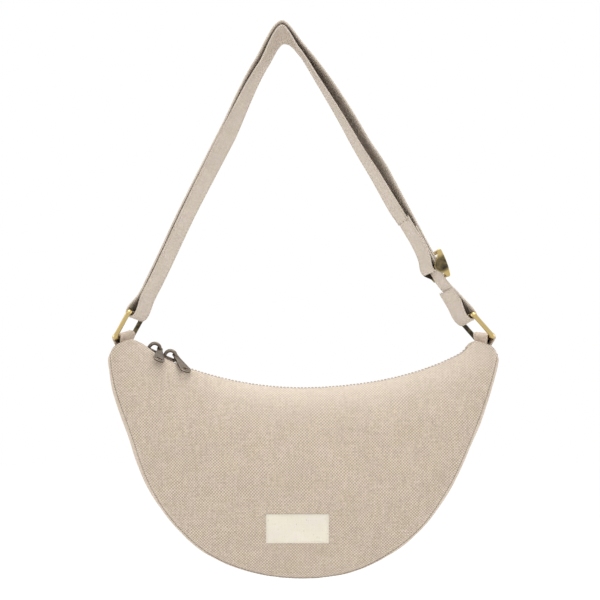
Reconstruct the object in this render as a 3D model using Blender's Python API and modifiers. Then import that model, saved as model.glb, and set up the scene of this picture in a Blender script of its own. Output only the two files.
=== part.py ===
"""Half moon crossbody bag: canvas shell with a curved zip, two sliders, corner tabs with wire rings and a
double strap with a sliding adjuster. Metres, +Z up, front of the bag at -Y. The origin is the point under
the top of the strap by which the bag hangs."""

import math

import bmesh
import bpy
from mathutils import Matrix, Vector

# Fit and cloth
GAP = 0.0004  # room between pieces that touch
CANVAS = 0.0014  # thickness of the bag's canvas
LINING_CLOTH = 0.0008

# Bag shell
BAG_OFFSET = 0.0166  # the bag's middle lies this far right of the hang point
ZIP_RADIUS = 0.331  # the zip line is an arc that sags towards the middle
ZIP_DROP = 0.3432  # hang point down to the middle of the zip line
SEAM_HALF_WIDTH = 0.1852  # widest half width of the panel seam, at its upper ends
CORNER_CUT = 0.0187  # the cut corner: from the seam's upper end in to the end of the zip line
CORNER_FALL = 0.01273  # and from the end of the zip line down
SEAM_BOTTOM_DROP = 0.5245
SEAM_LEFT_SHARES = (  # places on the seam, as shares of its half width and of its height
    (1.0, 0.0), (0.975, 0.138), (0.894, 0.358), (0.797, 0.579), (0.677, 0.736), (0.480, 0.890), (0.27, 0.966)
)
SEAM_RIGHT_SHARES = (
    (1.0, 0.0), (0.952, 0.142), (0.870, 0.362), (0.759, 0.592), (0.594, 0.789), (0.440, 0.890), (0.25, 0.968)
)
END_HALF_DEPTH = 0.0188  # half of the bag's depth at its corners
TOP_HALF_DEPTH = 0.0092  # half of the depth along the zip line, where the panels' edges are turned in
SEAM_HALF_DEPTH = 0.030  # half of the gusset's width at the bottom
PANEL_BULGE = 0.016
GUSSET_BULGE = 0.0040
SEAM_STEP = 0.002
PANEL_COLUMNS = 36
PANEL_ROWS = 10
LINING_INSET = 0.0036
LINING_TOP_INSET = 0.0120  # end of the zip line to the end of the lining's open top
LINING_CORNER_INSET = 0.018

# Zip
FACING_THICK = 0.0010
CHAIN_HALF_SPACE = 0.0048  # middle of the zip to the inner edge of a facing
TAPE_THICK = 0.0006
COIL_THICK = 0.0012
COIL_HALF_WIDTH = 0.0029
COIL_SLIT = 0.0010  # the sliders' posts run in this slit between the two rows
STOP_LENGTH = 0.0036
ZIP_END_REACH = 0.010  # length along the arc that each turned cloth end covers

# Rings and tabs
RING_WIRE = 0.0044
RING_HEIGHT = 0.0286  # between the middles of the upper and lower bars
RING_INNER_WIDTH = 0.040
RING_CORNER = 0.0030
RING_TILT = math.radians(15.4)  # how far the rings' bars turn away from straight back
LEFT_RING_LEAN = math.radians(28.7)  # from upright, towards the middle
RIGHT_RING_LEAN = math.radians(41.3)
BAR_STAND = 0.01053  # tab slot out to the lower bar of each ring, square to the cut corner
BAR_SHIFT = 0.00406  # and up along the corner
BAR_PLAY = 0.0009  # between a ring's bar and the cloth round it
TAB_WIDTH = 0.0330
TAB_THICK = 0.0016
TAB_TAIL = 0.0035
TAB_RISE = 0.0008  # the tab stays flat for this much above its slot
TAB_GRIP = math.radians(25)  # how far past a half turn the tab goes round the bar, each side
SLOT_SHARE = 0.60  # where the tab leaves the cut corner, from its upper end
SLOT_DEPTH = 0.0030  # and how far under the panels' edges

# Strap
STRAP_WIDTH = 0.038
STRAP_THICK = 0.0016
STRAP_STEP = 0.012
LOOP_RADIUS = 0.0043  # middle of the band where it turns round a ring
LOOP_REST = (0.4, 0.9)  # the loop's middle lies this way from the ring's bar: up the ring, and inward
LEFT_TILT = math.radians(17.5)  # how far the band's width turns away from straight back
RIGHT_TILT = math.radians(11.5)
SLIDE_TILT = math.radians(17)
APEX_TILT = math.radians(20)
APEX_SIDEWAYS = 0.2  # how far the tilt at the top turns to the right, against down
APEX_LIFT = 0.0042  # middle of the outer layer over the hang point, at its top
APEX_SHIFT = 0.0011  # and left of it
RUN_LAYER_SPACING = 0.0062  # middle of the outer layer to the middle of the inner one, right run
TIGHT_LAYER_SPACING = 0.0026  # the same at the top and along the left run
TAIL_SHARES = (0.30, 0.55)  # the sewn tail at the right ring: its end and its middle, down from the slide
LEFT_RUN_SHARES = ((0.129, 0.015), (0.37, 0.007), (0.65, -0.006), (0.88, -0.016), (0.938, -0.017))
RIGHT_RUN_SHARES = ((0.132, 0.014), (0.353, 0.029), (0.60, 0.026), (0.82, 0.011))

# Adjuster and the straight stretch of strap that it slides on
SLIDE_INSET = 0.08353  # the right ring's upper bar across to the top of the straight stretch
SLIDE_RISE = 0.14372  # and up
SLIDE_LEAN = math.radians(28)  # from upright
SLIDE_LENGTH = 0.119
SLIDE_STEADY = 0.006  # end pieces of the stretch, which keep it straight between them
ADJUSTER_RISE = 0.013  # lower end of the straight stretch up to the middle bar
ADJUSTER_LENGTH = 0.0238  # between its end bars
END_BAR_RADIUS = 0.0020
MIDDLE_BAR_RADIUS = 0.0013
BAR_RIM = 0.0003  # the side plates stand this far proud of the end bars
TOP_BAR_HEIGHT = 0.0038  # middle of the bar over the band's outer face
LOW_BAR_HEIGHT = 0.0028
BOW_HEIGHT = 0.0060
SIDE_PLATE = 0.0022
SIDE_PLAY = 0.0009
STRAP_END_FOLD = 0.044  # the sewn-back leg, from the middle bar up
STRAP_END_REACH = 0.056  # the long leg, up past the end of the strap's inner layer
INNER_LAYER_STOP = 0.053  # middle bar up to the end of the strap's inner layer

# Sliders and pullers
SLIDER_LENGTH = 0.0135
SLIDER_WIDTH = 0.0086
PLATE_THICK = 0.0011
POST_THICK = 0.0005
POST_LENGTH = 0.0030
FLANGE_THICK = 0.0008
FLANGE_DEPTH = 0.0011
BRIDGE_LENGTH = 0.0130
BRIDGE_HEIGHT = 0.0080
BRIDGE_BAND = 0.0016
BRIDGE_FOOT = 0.0006  # the bridge's feet are sunk into the top plate by this much
BRIDGE_SHARES = (
    (-0.5, 0), (-0.47, 0.45), (-0.36, 0.82), (-0.2, 1), (0.2, 1), (0.36, 0.82), (0.47, 0.45), (0.5, 0)
)
SLIDER_INSET = 0.0204  # along X, the zip line's left end to the middle of the left slider
SLIDER_SPACING = 0.0155  # and on to the right one
LEFT_LEG_SHARE = 0.5  # how far up the arch's slanting shoulder each puller hangs
RIGHT_LEG_SHARE = 0.6
LEFT_PULLER_WAY = (0.02, -0.92, -0.39)  # the way each puller points at rest
RIGHT_PULLER_WAY = (0.44, -0.72, -0.54)
PULLER_LENGTH = 0.0325
PULLER_THICK = 0.0010
PULLER_NECK = 0.0060
PULLER_FOOT = 0.0118
PULLER_TIP = 0.6  # width at the eye's end, as a share of the neck
PULLER_SLOT = (0.55, 0.30)  # half width and half height of the foot's slot, as shares of half the foot
PULLER_EYE_LENGTH = 0.0050
PULLER_EYE_WIDTH = 0.0034
PULLER_EYE_RIM = 0.0012

# Label
LABEL_WIDTH = 0.0605
LABEL_HEIGHT = 0.0282
LABEL_THICK = 0.0006
LABEL_SHIFT = -0.0054  # middle of the label from the bag's middle
LABEL_DROP = 0.4788
LABEL_LEAN = math.radians(0.8)

UP = Vector((0, 0, 1))
BACK = Vector((0, 1, 0))
RIGHT = Vector((1, 0, 0))

CANVAS_COLOUR = (0.57, 0.49, 0.41)
LINING_COLOUR = (0.62, 0.56, 0.47)
TAPE_COLOUR = (0.50, 0.43, 0.35)
BRASS_COLOUR = (0.55, 0.42, 0.20)
GUNMETAL_COLOUR = (0.13, 0.12, 0.11)
LABEL_COLOUR = (0.86, 0.83, 0.75)


def clear_scene():
    for old in list(bpy.data.objects):
        bpy.data.objects.remove(old, do_unlink=True)


def new_collection(name):
    collection = bpy.data.collections.new(name)
    bpy.context.scene.collection.children.link(collection)
    return collection


def dress(obj, colour, roughness=0.9, metallic=0.0):
    """Gives the object a plain material named for it."""
    material = bpy.data.materials.new(obj.name)
    material.use_nodes = True
    surface = material.node_tree.nodes["Principled BSDF"]
    surface.inputs["Base Color"].default_value = (*colour, 1)
    surface.inputs["Roughness"].default_value = roughness
    surface.inputs["Metallic"].default_value = metallic
    material.diffuse_color = (*colour, 1)
    obj.data.materials.clear()
    obj.data.materials.append(material)


def link_mesh(name, mesh, collection):
    obj = bpy.data.objects.new(name, mesh)
    collection.objects.link(obj)
    return obj


def grid_object(name, rows, collection, flip=False):
    """An open surface lofted through rows of points."""
    columns = len(rows[0])
    points = [p for row in rows for p in row]
    faces = []
    for i in range(len(rows) - 1):
        for j in range(columns - 1):
            a = i * columns + j
            quad = (a, a + 1, a + columns + 1, a + columns)
            faces.append(quad[::-1] if flip else quad)
    mesh = bpy.data.meshes.new(name)
    mesh.from_pydata(points, [], faces)
    mesh.shade_smooth()
    return link_mesh(name, mesh, collection)


def thicken(obj, thickness, offset=-1.0):
    shell = obj.modifiers.new("Thickness", "SOLIDIFY")
    shell.thickness = thickness
    shell.offset = offset
    shell.use_even_offset = True
    shell.thickness_clamp = 0


def even(points, count):
    """The polyline again with count equal steps."""
    lengths = [0.0]
    for a, b in zip(points, points[1:]):
        lengths.append(lengths[-1] + (b - a).length)
    found, k = [], 0
    for i in range(count + 1):
        target = lengths[-1] * i / count
        while k < len(points) - 2 and lengths[k + 1] < target:
            k += 1
        span = lengths[k + 1] - lengths[k]
        share = (target - lengths[k]) / span
        found.append(points[k].lerp(points[k + 1], min(1, share)))
    return found


def bends(points):
    """Directions of a smooth curve at its points, by the distances between them."""
    found = []
    for i, p in enumerate(points):
        before, after = points[max(i - 1, 0)], points[min(i + 1, len(points) - 1)]
        a, b = (p - before).length, (after - p).length
        if a == 0 or b == 0:
            found.append((after - before) / (a + b))
        else:
            found.append(((p - before) / a * b + (after - p) / b * a) / (a + b))
    return found


def smooth_path(points, step):
    """A smooth curve through the points in steps no longer than step, and the share where each step lies."""
    found = [(points[0].copy(), 0.0)]
    slopes = bends(points)
    for k in range(len(points) - 1):
        p, q = points[k], points[k + 1]
        span = (q - p).length
        steps = max(1, math.ceil(span / step))
        for i in range(1, steps + 1):
            t = i / steps
            place = p * (1 + 2 * t) * (1 - t) ** 2 + q * (3 - 2 * t) * t**2
            place += (slopes[k] * t * (1 - t) ** 2 - slopes[k + 1] * (1 - t) * t**2) * span
            found.append((place, k + t))
    return found


def arc(centre, start, axis, angle, steps):
    """Points of an arc that starts at centre + start and turns about the axis."""
    return [centre + Matrix.Rotation(angle * i / steps, 3, axis) @ start for i in range(steps + 1)]


def ribbon(name, path, widths, width, thickness, collection):
    """A band that follows the path, with its width along the given directions."""
    rows = [[p - w * (width / 2), p + w * (width / 2)] for p, w in zip(path, widths)]
    obj = grid_object(name, rows, collection)
    thicken(obj, thickness, 0)
    return obj


def solid_box(size, place, collection, name="box"):
    mesh = bpy.data.meshes.new(name)
    bm = bmesh.new()
    bmesh.ops.create_cube(bm, size=1, matrix=Matrix.Translation(place) @ Matrix.Diagonal((*size, 1)))
    bm.to_mesh(mesh)
    bm.free()
    return link_mesh(name, mesh, collection)


def solid_rod(radius, length, place, collection, name="rod", sides=16):
    """A cylinder along Y."""
    mesh = bpy.data.meshes.new(name)
    bm = bmesh.new()
    turn = Matrix.Translation(place) @ Matrix.Rotation(math.pi / 2, 4, "X")
    bmesh.ops.create_cone(
        bm, cap_ends=True, segments=sides, radius1=radius, radius2=radius, depth=length, matrix=turn
    )
    bm.to_mesh(mesh)
    bm.free()
    return link_mesh(name, mesh, collection)


def flat_plate(name, outline, holes, thickness, collection):
    """A flat outline with holes in the XZ plane, thick along Y, as a mesh."""
    curve = bpy.data.curves.new(name, "CURVE")
    curve.dimensions = "2D"
    curve.fill_mode = "BOTH"
    curve.extrude = thickness / 2
    for points in [outline, *holes]:
        spline = curve.splines.new("POLY")
        spline.points.add(len(points) - 1)
        for point, (x, z) in zip(spline.points, points):
            point.co = (x, z, 0, 1)
        spline.use_cyclic_u = True
    shape = bpy.data.objects.new(name, curve)
    collection.objects.link(shape)
    shape.rotation_euler = (math.pi / 2, 0, 0)
    return mesh_from(shape, name, collection)


def mesh_from(shape, name, collection):
    """The evaluated shape as a mesh with its caps welded, in place of the curve."""
    bpy.context.view_layer.update()
    evaluated = shape.evaluated_get(bpy.context.evaluated_depsgraph_get())
    mesh = bpy.data.meshes.new_from_object(evaluated)
    mesh.transform(shape.matrix_world)
    bpy.data.objects.remove(shape, do_unlink=True)
    bm = bmesh.new()
    bm.from_mesh(mesh)
    bmesh.ops.remove_doubles(bm, verts=bm.verts, dist=GAP / 100)
    bmesh.ops.recalc_face_normals(bm, faces=bm.faces)
    bm.to_mesh(mesh)
    bm.free()
    mesh.name = name
    return link_mesh(name, mesh, collection)


def join_solids(name, solids, collection):
    """One solid from overlapping ones."""
    base = solids[0]
    for tool in solids[1:]:
        union = base.modifiers.new("Join", "BOOLEAN")
        union.operation = "UNION"
        union.solver = "EXACT"
        union.object = tool
        base = mesh_from(base, name, collection)
        bpy.data.objects.remove(tool, do_unlink=True)
    base.name = name
    return base


def tube(name, points, radius, collection, cyclic=False, resolution=3):
    curve = bpy.data.curves.new(name, "CURVE")
    curve.dimensions = "3D"
    curve.bevel_depth = radius
    curve.bevel_resolution = resolution
    curve.use_fill_caps = not cyclic
    spline = curve.splines.new("POLY")
    spline.points.add(len(points) - 1)
    for point, place in zip(spline.points, points):
        point.co = (*place, 1)
    spline.use_cyclic_u = cyclic
    shape = bpy.data.objects.new(name, curve)
    collection.objects.link(shape)
    return mesh_from(shape, name, collection)


def hang_from(place, name, hung):
    """An empty on a joint's axis that carries the pieces which turn about it."""
    pivot = bpy.data.objects.new(name, None)
    pivot.location = place
    pivot.empty_display_size = RING_HEIGHT
    bpy.context.scene.collection.objects.link(pivot)
    for obj in hung:
        obj.parent = pivot
        obj.matrix_parent_inverse = Matrix.Translation(-place)


def put_origin(obj, place):
    """Moves the object's origin without moving its mesh."""
    obj.data.transform(Matrix.Translation(-place))
    obj.location = place


# The bag's outlines, in the plane of its middle


def arc_centre():
    return Vector((BAG_OFFSET, 0, ZIP_RADIUS - ZIP_DROP))


def on_zip_line(angle, depth=0.0):
    """A point of the zip line, by its angle from straight down, and depth metres into the bag."""
    reach = ZIP_RADIUS + depth
    return arc_centre() + Vector((math.sin(angle), 0, -math.cos(angle))) * reach


def peak_reach():
    """Middle of the bag to the end of the zip line."""
    return SEAM_HALF_WIDTH - CORNER_CUT


def end_angle():
    return math.asin(peak_reach() / ZIP_RADIUS)


def shoulder():
    """The height of the seam's upper ends."""
    return on_zip_line(end_angle()).z - CORNER_FALL


def seam_line(count, inset=0.0):
    """The outer seam from the left corner round the bottom to the right corner."""
    half_width = SEAM_HALF_WIDTH - inset
    fall = SEAM_BOTTOM_DROP + shoulder() - inset
    middle = Vector((BAG_OFFSET, 0, shoulder()))
    left = [middle - Vector((x * half_width, 0, z * fall)) for x, z in SEAM_LEFT_SHARES]
    right = [middle + Vector((x * half_width, 0, -z * fall)) for x, z in SEAM_RIGHT_SHARES]
    bottom = middle - UP * fall
    return even([p for p, _ in smooth_path([*left, bottom, *right[::-1]], SEAM_STEP)], count)


def zip_line(count, depth=0.0, reach=None):
    reach = end_angle() if reach is None else reach
    return [on_zip_line(reach * (2 * i / count - 1), depth) for i in range(count + 1)]


def top_half_depth(u):
    return TOP_HALF_DEPTH + (END_HALF_DEPTH - TOP_HALF_DEPTH) * u**16


def seam_half_depth(u):
    return END_HALF_DEPTH + (SEAM_HALF_DEPTH - END_HALF_DEPTH) * (1 - abs(u) ** 3)


def panel_rows(side, columns, rows, inset=0.0, top_inset=0.0, corner_inset=0.0, top_depth=0.0):
    """Rows of a panel from the zip line down to the seam. side is -1 at the front and 1 at the back.
    The insets keep the lining inside, a little further in towards its foot."""
    reach = math.asin((peak_reach() - top_inset) / ZIP_RADIUS)
    top = zip_line(columns, top_depth, reach)
    low = seam_line(columns, inset)
    for i, p in enumerate(low):
        u = 2 * i / columns - 1
        p.x -= corner_inset * u**5
    found = []
    for k in range(rows + 1):
        v = k / rows
        row = []
        for i in range(columns + 1):
            u = 2 * i / columns - 1
            p = top[i].lerp(low[i], v)
            edge = top_half_depth(u * reach / end_angle()) * (1 - v) + seam_half_depth(u) * v
            bulge = PANEL_BULGE * math.sin(math.pi * v) * (1 - u**2) ** 1.3
            p.y = side * (edge + bulge - inset * (1 + v / 3))
            row.append(p)
        found.append(row)
    return found


def corner_points(side):
    """The upper and lower ends of a cut corner. side is -1 at the left and 1 at the right."""
    upper = on_zip_line(side * end_angle())
    lower = Vector((BAG_OFFSET + side * SEAM_HALF_WIDTH, 0, shoulder()))
    return upper, lower


def into_bag(side):
    """The direction into the bag, square to the cut corner."""
    upper, lower = corner_points(side)
    inside = (lower - upper).cross(BACK).normalized()
    return inside if inside.x * side < 0 else -inside


def slot_place(side):
    upper, lower = corner_points(side)
    return upper.lerp(lower, SLOT_SHARE) + into_bag(side) * SLOT_DEPTH


def slot_half_width():
    return TAB_THICK + GAP * 1.5


def add_panels(parts):
    for name, side in (("front_panel", -1), ("back_panel", 1)):
        panel = grid_object(name, panel_rows(side, PANEL_COLUMNS, PANEL_ROWS), parts, flip=side < 0)
        thicken(panel, CANVAS)
        dress(panel, CANVAS_COLOUR)


def strip(name, path, half_widths, bulges, columns, thickness, collection):
    """A strip that follows a path in the XZ plane, wide along Y and bulged away from the bag's middle."""
    middle = Vector((BAG_OFFSET, 0, -(ZIP_DROP + SEAM_BOTTOM_DROP) / 2))
    rows = []
    for i, p in enumerate(path):
        before, after = path[max(i - 1, 0)], path[min(i + 1, len(path) - 1)]
        normal = (after - before).cross(BACK).normalized()
        if normal.dot(p - middle) < 0:
            normal = -normal
        row = []
        for k in range(columns + 1):
            b = 2 * k / columns - 1
            place = p + normal * bulges[i] * (1 - b**2)
            place.y = b * half_widths[i]
            row.append(place)
        rows.append(row)
    obj = grid_object(name, rows, collection)
    thicken(obj, thickness)
    return obj


def add_gusset(parts):
    """The strip between the panels, from one tab slot round the bottom to the other."""
    count = 44
    seam = seam_line(count)
    ends = {}
    for side in (-1, 1):
        upper, lower = corner_points(side)
        along = (upper - lower).normalized()
        stop = slot_place(side) - along * slot_half_width()
        ends[side] = [lower.lerp(stop, share) for share in (0.4, 1)]
    path = ends[-1][::-1] + seam + ends[1]
    halves, bulges = [], []
    for i in range(len(path)):
        u = 2 * (i - 2) / count - 1
        u = max(-1, min(1, u))
        halves.append(seam_half_depth(u) - CANVAS - GAP)
        bulges.append(GUSSET_BULGE * (1 - abs(u) ** 12))
    gusset = strip("gusset", path, halves, bulges, 4, CANVAS, parts)
    dress(gusset, CANVAS_COLOUR)


def add_zip_ends(parts):
    """The turned cloth that closes each end of the zip panel, over the corner down to the tab slot."""
    for name, side in (("zip_end_left", -1), ("zip_end_right", 1)):
        upper, lower = corner_points(side)
        along = (lower - upper).normalized()
        stop = slot_place(side) - along * slot_half_width()
        first = end_angle() - ZIP_END_REACH / ZIP_RADIUS
        steps = 4
        angles = [first + (end_angle() - first) * i / steps for i in range(steps)]
        path = [on_zip_line(side * angle) for angle in angles]
        halves = [inside_panels(angle / end_angle()) - 2 * GAP for angle in angles]
        path += [upper.lerp(stop, share) for share in (0.15, 0.5, 1)]
        halves += [inside_panels(1) - 2 * GAP] * 3
        cover = strip(name, path, halves, [0] * len(path), 1, CANVAS, parts)
        if side > 0:
            flip_faces(cover)
        dress(cover, CANVAS_COLOUR)


def flip_faces(obj):
    bm = bmesh.new()
    bm.from_mesh(obj.data)
    bmesh.ops.reverse_faces(bm, faces=bm.faces)
    bm.to_mesh(obj.data)
    bm.free()


def zip_reach():
    """Half of the zip's own angle: it stops short of the turned cloth ends."""
    return end_angle() - (ZIP_END_REACH + GAP) / ZIP_RADIUS


def arc_strip(name, side, inner, outer, top_depth, thickness, reach, parts, steps=32):
    """A strip bent along the zip line. outer gives its outer edge's place across the bag for a share u."""
    rows = []
    for i in range(steps + 1):
        u = 2 * i / steps - 1
        p = on_zip_line(reach * u, top_depth)
        rows.append([Vector((p.x, side * y, p.z)) for y in (inner, outer(u * reach / end_angle()))])
    strip_object = grid_object(name, rows, parts, flip=side > 0)
    thicken(strip_object, thickness)
    return strip_object


def inside_panels(u):
    return top_half_depth(u) - CANVAS - GAP


def coil_edge(u):
    return COIL_HALF_WIDTH


def tape_depth():
    return GAP + COIL_THICK + GAP


def add_zip(parts):
    """Facings, tapes, coil rows and end stops, all bent along the zip line."""
    reach = zip_reach()
    slit = COIL_SLIT / 2
    row_reach = reach - (STOP_LENGTH + GAP) / ZIP_RADIUS
    for word, side in (("front", -1), ("back", 1)):
        facing = arc_strip(
            f"zip_facing_{word}", side, CHAIN_HALF_SPACE, inside_panels, 0, FACING_THICK, reach, parts
        )
        dress(facing, CANVAS_COLOUR)
        tape = arc_strip(
            f"zip_tape_{word}", side, slit, inside_panels, tape_depth(), TAPE_THICK, reach, parts
        )
        dress(tape, TAPE_COLOUR)
        coil = arc_strip(
            f"zip_coil_{word}", side, slit, coil_edge, GAP, COIL_THICK, row_reach, parts, steps=48
        )
        dress(coil, TAPE_COLOUR, 0.6)
    for word, side in (("left", -1), ("right", 1)):
        angle = side * (reach - STOP_LENGTH / 2 / ZIP_RADIUS)
        stop = solid_box((STOP_LENGTH - GAP, 2 * COIL_HALF_WIDTH, COIL_THICK), Vector((0, 0, 0)), parts)
        stop.name = f"zip_stop_{word}"
        place = on_zip_line(angle, GAP + COIL_THICK / 2)
        stop.data.transform(Matrix.Translation(place) @ Matrix.Rotation(-angle, 4, "Y"))
        dress(stop, GUNMETAL_COLOUR, 0.4, 1)


def add_lining(parts):
    """One cloth bag inside the shell, open along the zip, its edges under the tapes."""
    columns, rows, cross = 28, 6, 3
    under_tape = tape_depth() + TAPE_THICK + GAP
    front, back = (
        panel_rows(side, columns, rows, LINING_INSET, LINING_TOP_INSET, LINING_CORNER_INSET, under_tape)
        for side in (-1, 1)
    )
    bottom = [[a.lerp(b, k / cross) for a, b in zip(front[-1], back[-1])] for k in range(1, cross)]
    loop = [*front, *bottom, *back[::-1]]
    lining = grid_object("lining", loop, parts)
    close_ends(lining, rows, len(loop), columns + 1)
    thicken(lining, LINING_CLOTH)
    dress(lining, LINING_COLOUR)


def close_ends(obj, side_rows, row_count, column_count):
    """Fills the two open ends of a folded grid: from side to side row by row, and the fold as one face."""
    bm = bmesh.new()
    bm.from_mesh(obj.data)
    bm.verts.ensure_lookup_table()
    rings = [(i, i + 1, row_count - 2 - i, row_count - 1 - i) for i in range(side_rows - 1)]
    rings.append(range(side_rows - 1, row_count - side_rows + 1))
    for column in (0, column_count - 1):
        for ring in rings:
            bm.faces.new([bm.verts[k * column_count + column] for k in ring])
    bmesh.ops.recalc_face_normals(bm, faces=bm.faces)
    bm.to_mesh(obj.data)
    bm.free()


def ring_axes(side):
    """The ring's up direction and the direction of its bars. side is -1 at the left."""
    lean = LEFT_RING_LEAN if side < 0 else RIGHT_RING_LEAN
    up = Vector((-side * math.sin(lean), 0, math.cos(lean)))
    inward = Vector((-side * math.cos(lean), 0, -math.sin(lean)))
    across = BACK * math.cos(RING_TILT) + inward * math.sin(RING_TILT)
    return up, inward, across


def low_bar(side):
    upper, lower = corner_points(side)
    return slot_place(side) - into_bag(side) * BAR_STAND + (upper - lower).normalized() * BAR_SHIFT


def high_bar(side):
    return low_bar(side) + ring_axes(side)[0] * RING_HEIGHT


def add_rings(parts):
    for name, side in (("ring_left", -1), ("ring_right", 1)):
        up, _, across = ring_axes(side)
        middle = (low_bar(side) + high_bar(side)) / 2
        half_width = (RING_INNER_WIDTH + RING_WIRE) / 2
        points = []
        steps = 4
        for quarter, (a, b) in enumerate(((1, 1), (-1, 1), (-1, -1), (1, -1))):
            corner = middle + across * a * (half_width - RING_CORNER)
            corner += up * b * (RING_HEIGHT / 2 - RING_CORNER)
            for i in range(steps + 1):
                turn = math.pi / 2 * (quarter + i / steps)
                points.append(corner + (across * math.cos(turn) + up * math.sin(turn)) * RING_CORNER)
        ring = tube(name, points, RING_WIRE / 2, parts, cyclic=True)
        put_origin(ring, high_bar(side))
        ring.data.shade_smooth()
        dress(ring, BRASS_COLOUR, 0.35, 1)


def add_tabs(parts):
    """A cloth loop from each corner slot round the ring's lower bar and back."""
    radius = RING_WIRE / 2 + BAR_PLAY + TAB_THICK / 2
    for name, side in (("tab_left", -1), ("tab_right", 1)):
        upper, lower = corner_points(side)
        along = (lower - upper).normalized()
        inside = into_bag(side)
        across = ring_axes(side)[2]
        slot, bar = slot_place(side), low_bar(side)
        half = (TAB_THICK + GAP) / 2
        out = (bar - slot).normalized()
        outer_side = out.cross(BACK).normalized()
        if outer_side.dot(along) < 0:
            outer_side = -outer_side
        turn_axis = BACK if outer_side.cross(-out).dot(BACK) < 0 else -BACK
        start = Matrix.Rotation(-TAB_GRIP, 3, turn_axis) @ outer_side * radius
        wrap = arc(bar, start, turn_axis, math.pi + 2 * TAB_GRIP, 12)
        tail, kink = slot + inside * TAB_TAIL, slot - inside * TAB_RISE
        path = [tail + along * half, kink + along * half, *wrap, kink - along * half, tail - along * half]
        widths = [BACK, BACK] + [across] * len(wrap) + [BACK, BACK]
        tab = ribbon(name, path, widths, TAB_WIDTH, TAB_THICK, parts)
        dress(tab, CANVAS_COLOUR)


# The strap


def slide_axes():
    """Down along the straight stretch, out of the band's face, and across the band."""
    down = Vector((math.sin(SLIDE_LEAN), 0, -math.cos(SLIDE_LEAN)))
    inward = Vector((-math.cos(SLIDE_LEAN), 0, -math.sin(SLIDE_LEAN)))
    across = BACK * math.cos(SLIDE_TILT) + inward * math.sin(SLIDE_TILT)
    out = across.cross(down).normalized()
    if out.dot(inward) > 0:
        out = -out
    return down, out, across, inward


def on_slide(distance):
    """A point of the straight stretch, by its distance from the upper end."""
    return high_bar(1) + Vector((-SLIDE_INSET, 0, SLIDE_RISE)) + slide_axes()[0] * distance


def adjuster_place():
    return SLIDE_LENGTH - ADJUSTER_RISE


def apex():
    return Vector((-APEX_SHIFT, 0, APEX_LIFT))


def run_points(start, end, shares, outward):
    """Places along a run, each a share of the way and bowed outward by a share of its length."""
    length = (end - start).length
    found = []
    for along, bow in shares:
        found.append(start.lerp(end, along) + outward * bow * length)
    return found


def outward_of(start, end):
    normal = (end - start).cross(BACK).normalized()
    return normal if normal.z > 0 else -normal


def tilted(inward, tilt):
    return BACK * math.cos(tilt) + inward.normalized() * math.sin(tilt)


def loop_turn(side, spacing=0.0):
    """The wrap round a ring's upper bar, from the strap's outer side to its inner side."""
    up, inward, across = ring_axes(side)
    rest = (up * LOOP_REST[0] + inward * LOOP_REST[1]).normalized()
    centre = high_bar(side) + rest * (LOOP_RADIUS - STRAP_THICK / 2 - BAR_PLAY - RING_WIRE / 2)
    start = -inward * LOOP_RADIUS
    axis = BACK if side > 0 else -BACK
    return arc(centre, start, axis, math.pi, 10), across


def add_strap(parts):
    """From the end sewn round the right ring, up the outer layer, round the left ring and back inside."""
    right_turn, right_across = loop_turn(1)
    left_turn, left_across = loop_turn(-1)
    slide_across, slide_in = slide_axes()[2:]
    top = apex()
    left_out = outward_of(top, left_turn[0])
    right_out = outward_of(top, on_slide(0))
    left_width = tilted(-left_out, LEFT_TILT)
    right_width = tilted(-right_out, RIGHT_TILT)
    top_width = tilted(RIGHT * APEX_SIDEWAYS - UP, APEX_TILT)

    lower = on_slide(SLIDE_LENGTH)
    tail_end = lower.lerp(right_turn[0], TAIL_SHARES[0]) + slide_in * TIGHT_LAYER_SPACING
    tail_mid = lower.lerp(right_turn[-1], TAIL_SHARES[1]) + slide_in * TIGHT_LAYER_SPACING

    knots = [(tail_end, slide_across), (tail_mid, right_across)]
    knots += [(p, right_across) for p in right_turn[::-1]]
    knots += [(lower.lerp(right_turn[0], 0.5), slide_across.lerp(right_across, 0.5))]
    steady = (SLIDE_LENGTH, SLIDE_LENGTH - SLIDE_STEADY, SLIDE_STEADY, 0)
    knots += [(on_slide(s), slide_across) for s in steady]
    right_run = run_points(top, on_slide(0), RIGHT_RUN_SHARES, right_out)
    knots += [(p, right_width) for p in right_run[::-1]]
    knots += [(top, top_width)]
    left_run = run_points(top, left_turn[0], LEFT_RUN_SHARES, left_out)
    knots += [(p, left_width) for p in left_run]
    knots += [(p, left_across) for p in left_turn]
    knots += [(p - left_out * TIGHT_LAYER_SPACING, left_width) for p in left_run[::-1]]
    knots += [(top - UP * TIGHT_LAYER_SPACING, top_width)]
    spacings = (TIGHT_LAYER_SPACING, RUN_LAYER_SPACING, RUN_LAYER_SPACING, RUN_LAYER_SPACING)
    knots += [(p - right_out * s, right_width) for p, s in zip(right_run, spacings)]
    stop = adjuster_place() - INNER_LAYER_STOP
    knots += [(on_slide(s) + slide_in * RUN_LAYER_SPACING, slide_across) for s in (0, stop)]

    path, widths = [], []
    for place, share in smooth_path([p for p, _ in knots], STRAP_STEP):
        k = min(int(share), len(knots) - 2)
        path.append(place)
        widths.append(knots[k][1].lerp(knots[k + 1][1], share - k).normalized())
    strap = ribbon("strap", path, widths, STRAP_WIDTH, STRAP_THICK, parts)
    dress(strap, CANVAS_COLOUR)


def middle_bar():
    """The adjuster's middle bar lies under the band, with the strap's end between."""
    _, out, _, _ = slide_axes()
    depth = STRAP_THICK / 2 + GAP + STRAP_THICK + GAP + MIDDLE_BAR_RADIUS
    return on_slide(adjuster_place()) - out * depth


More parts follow.
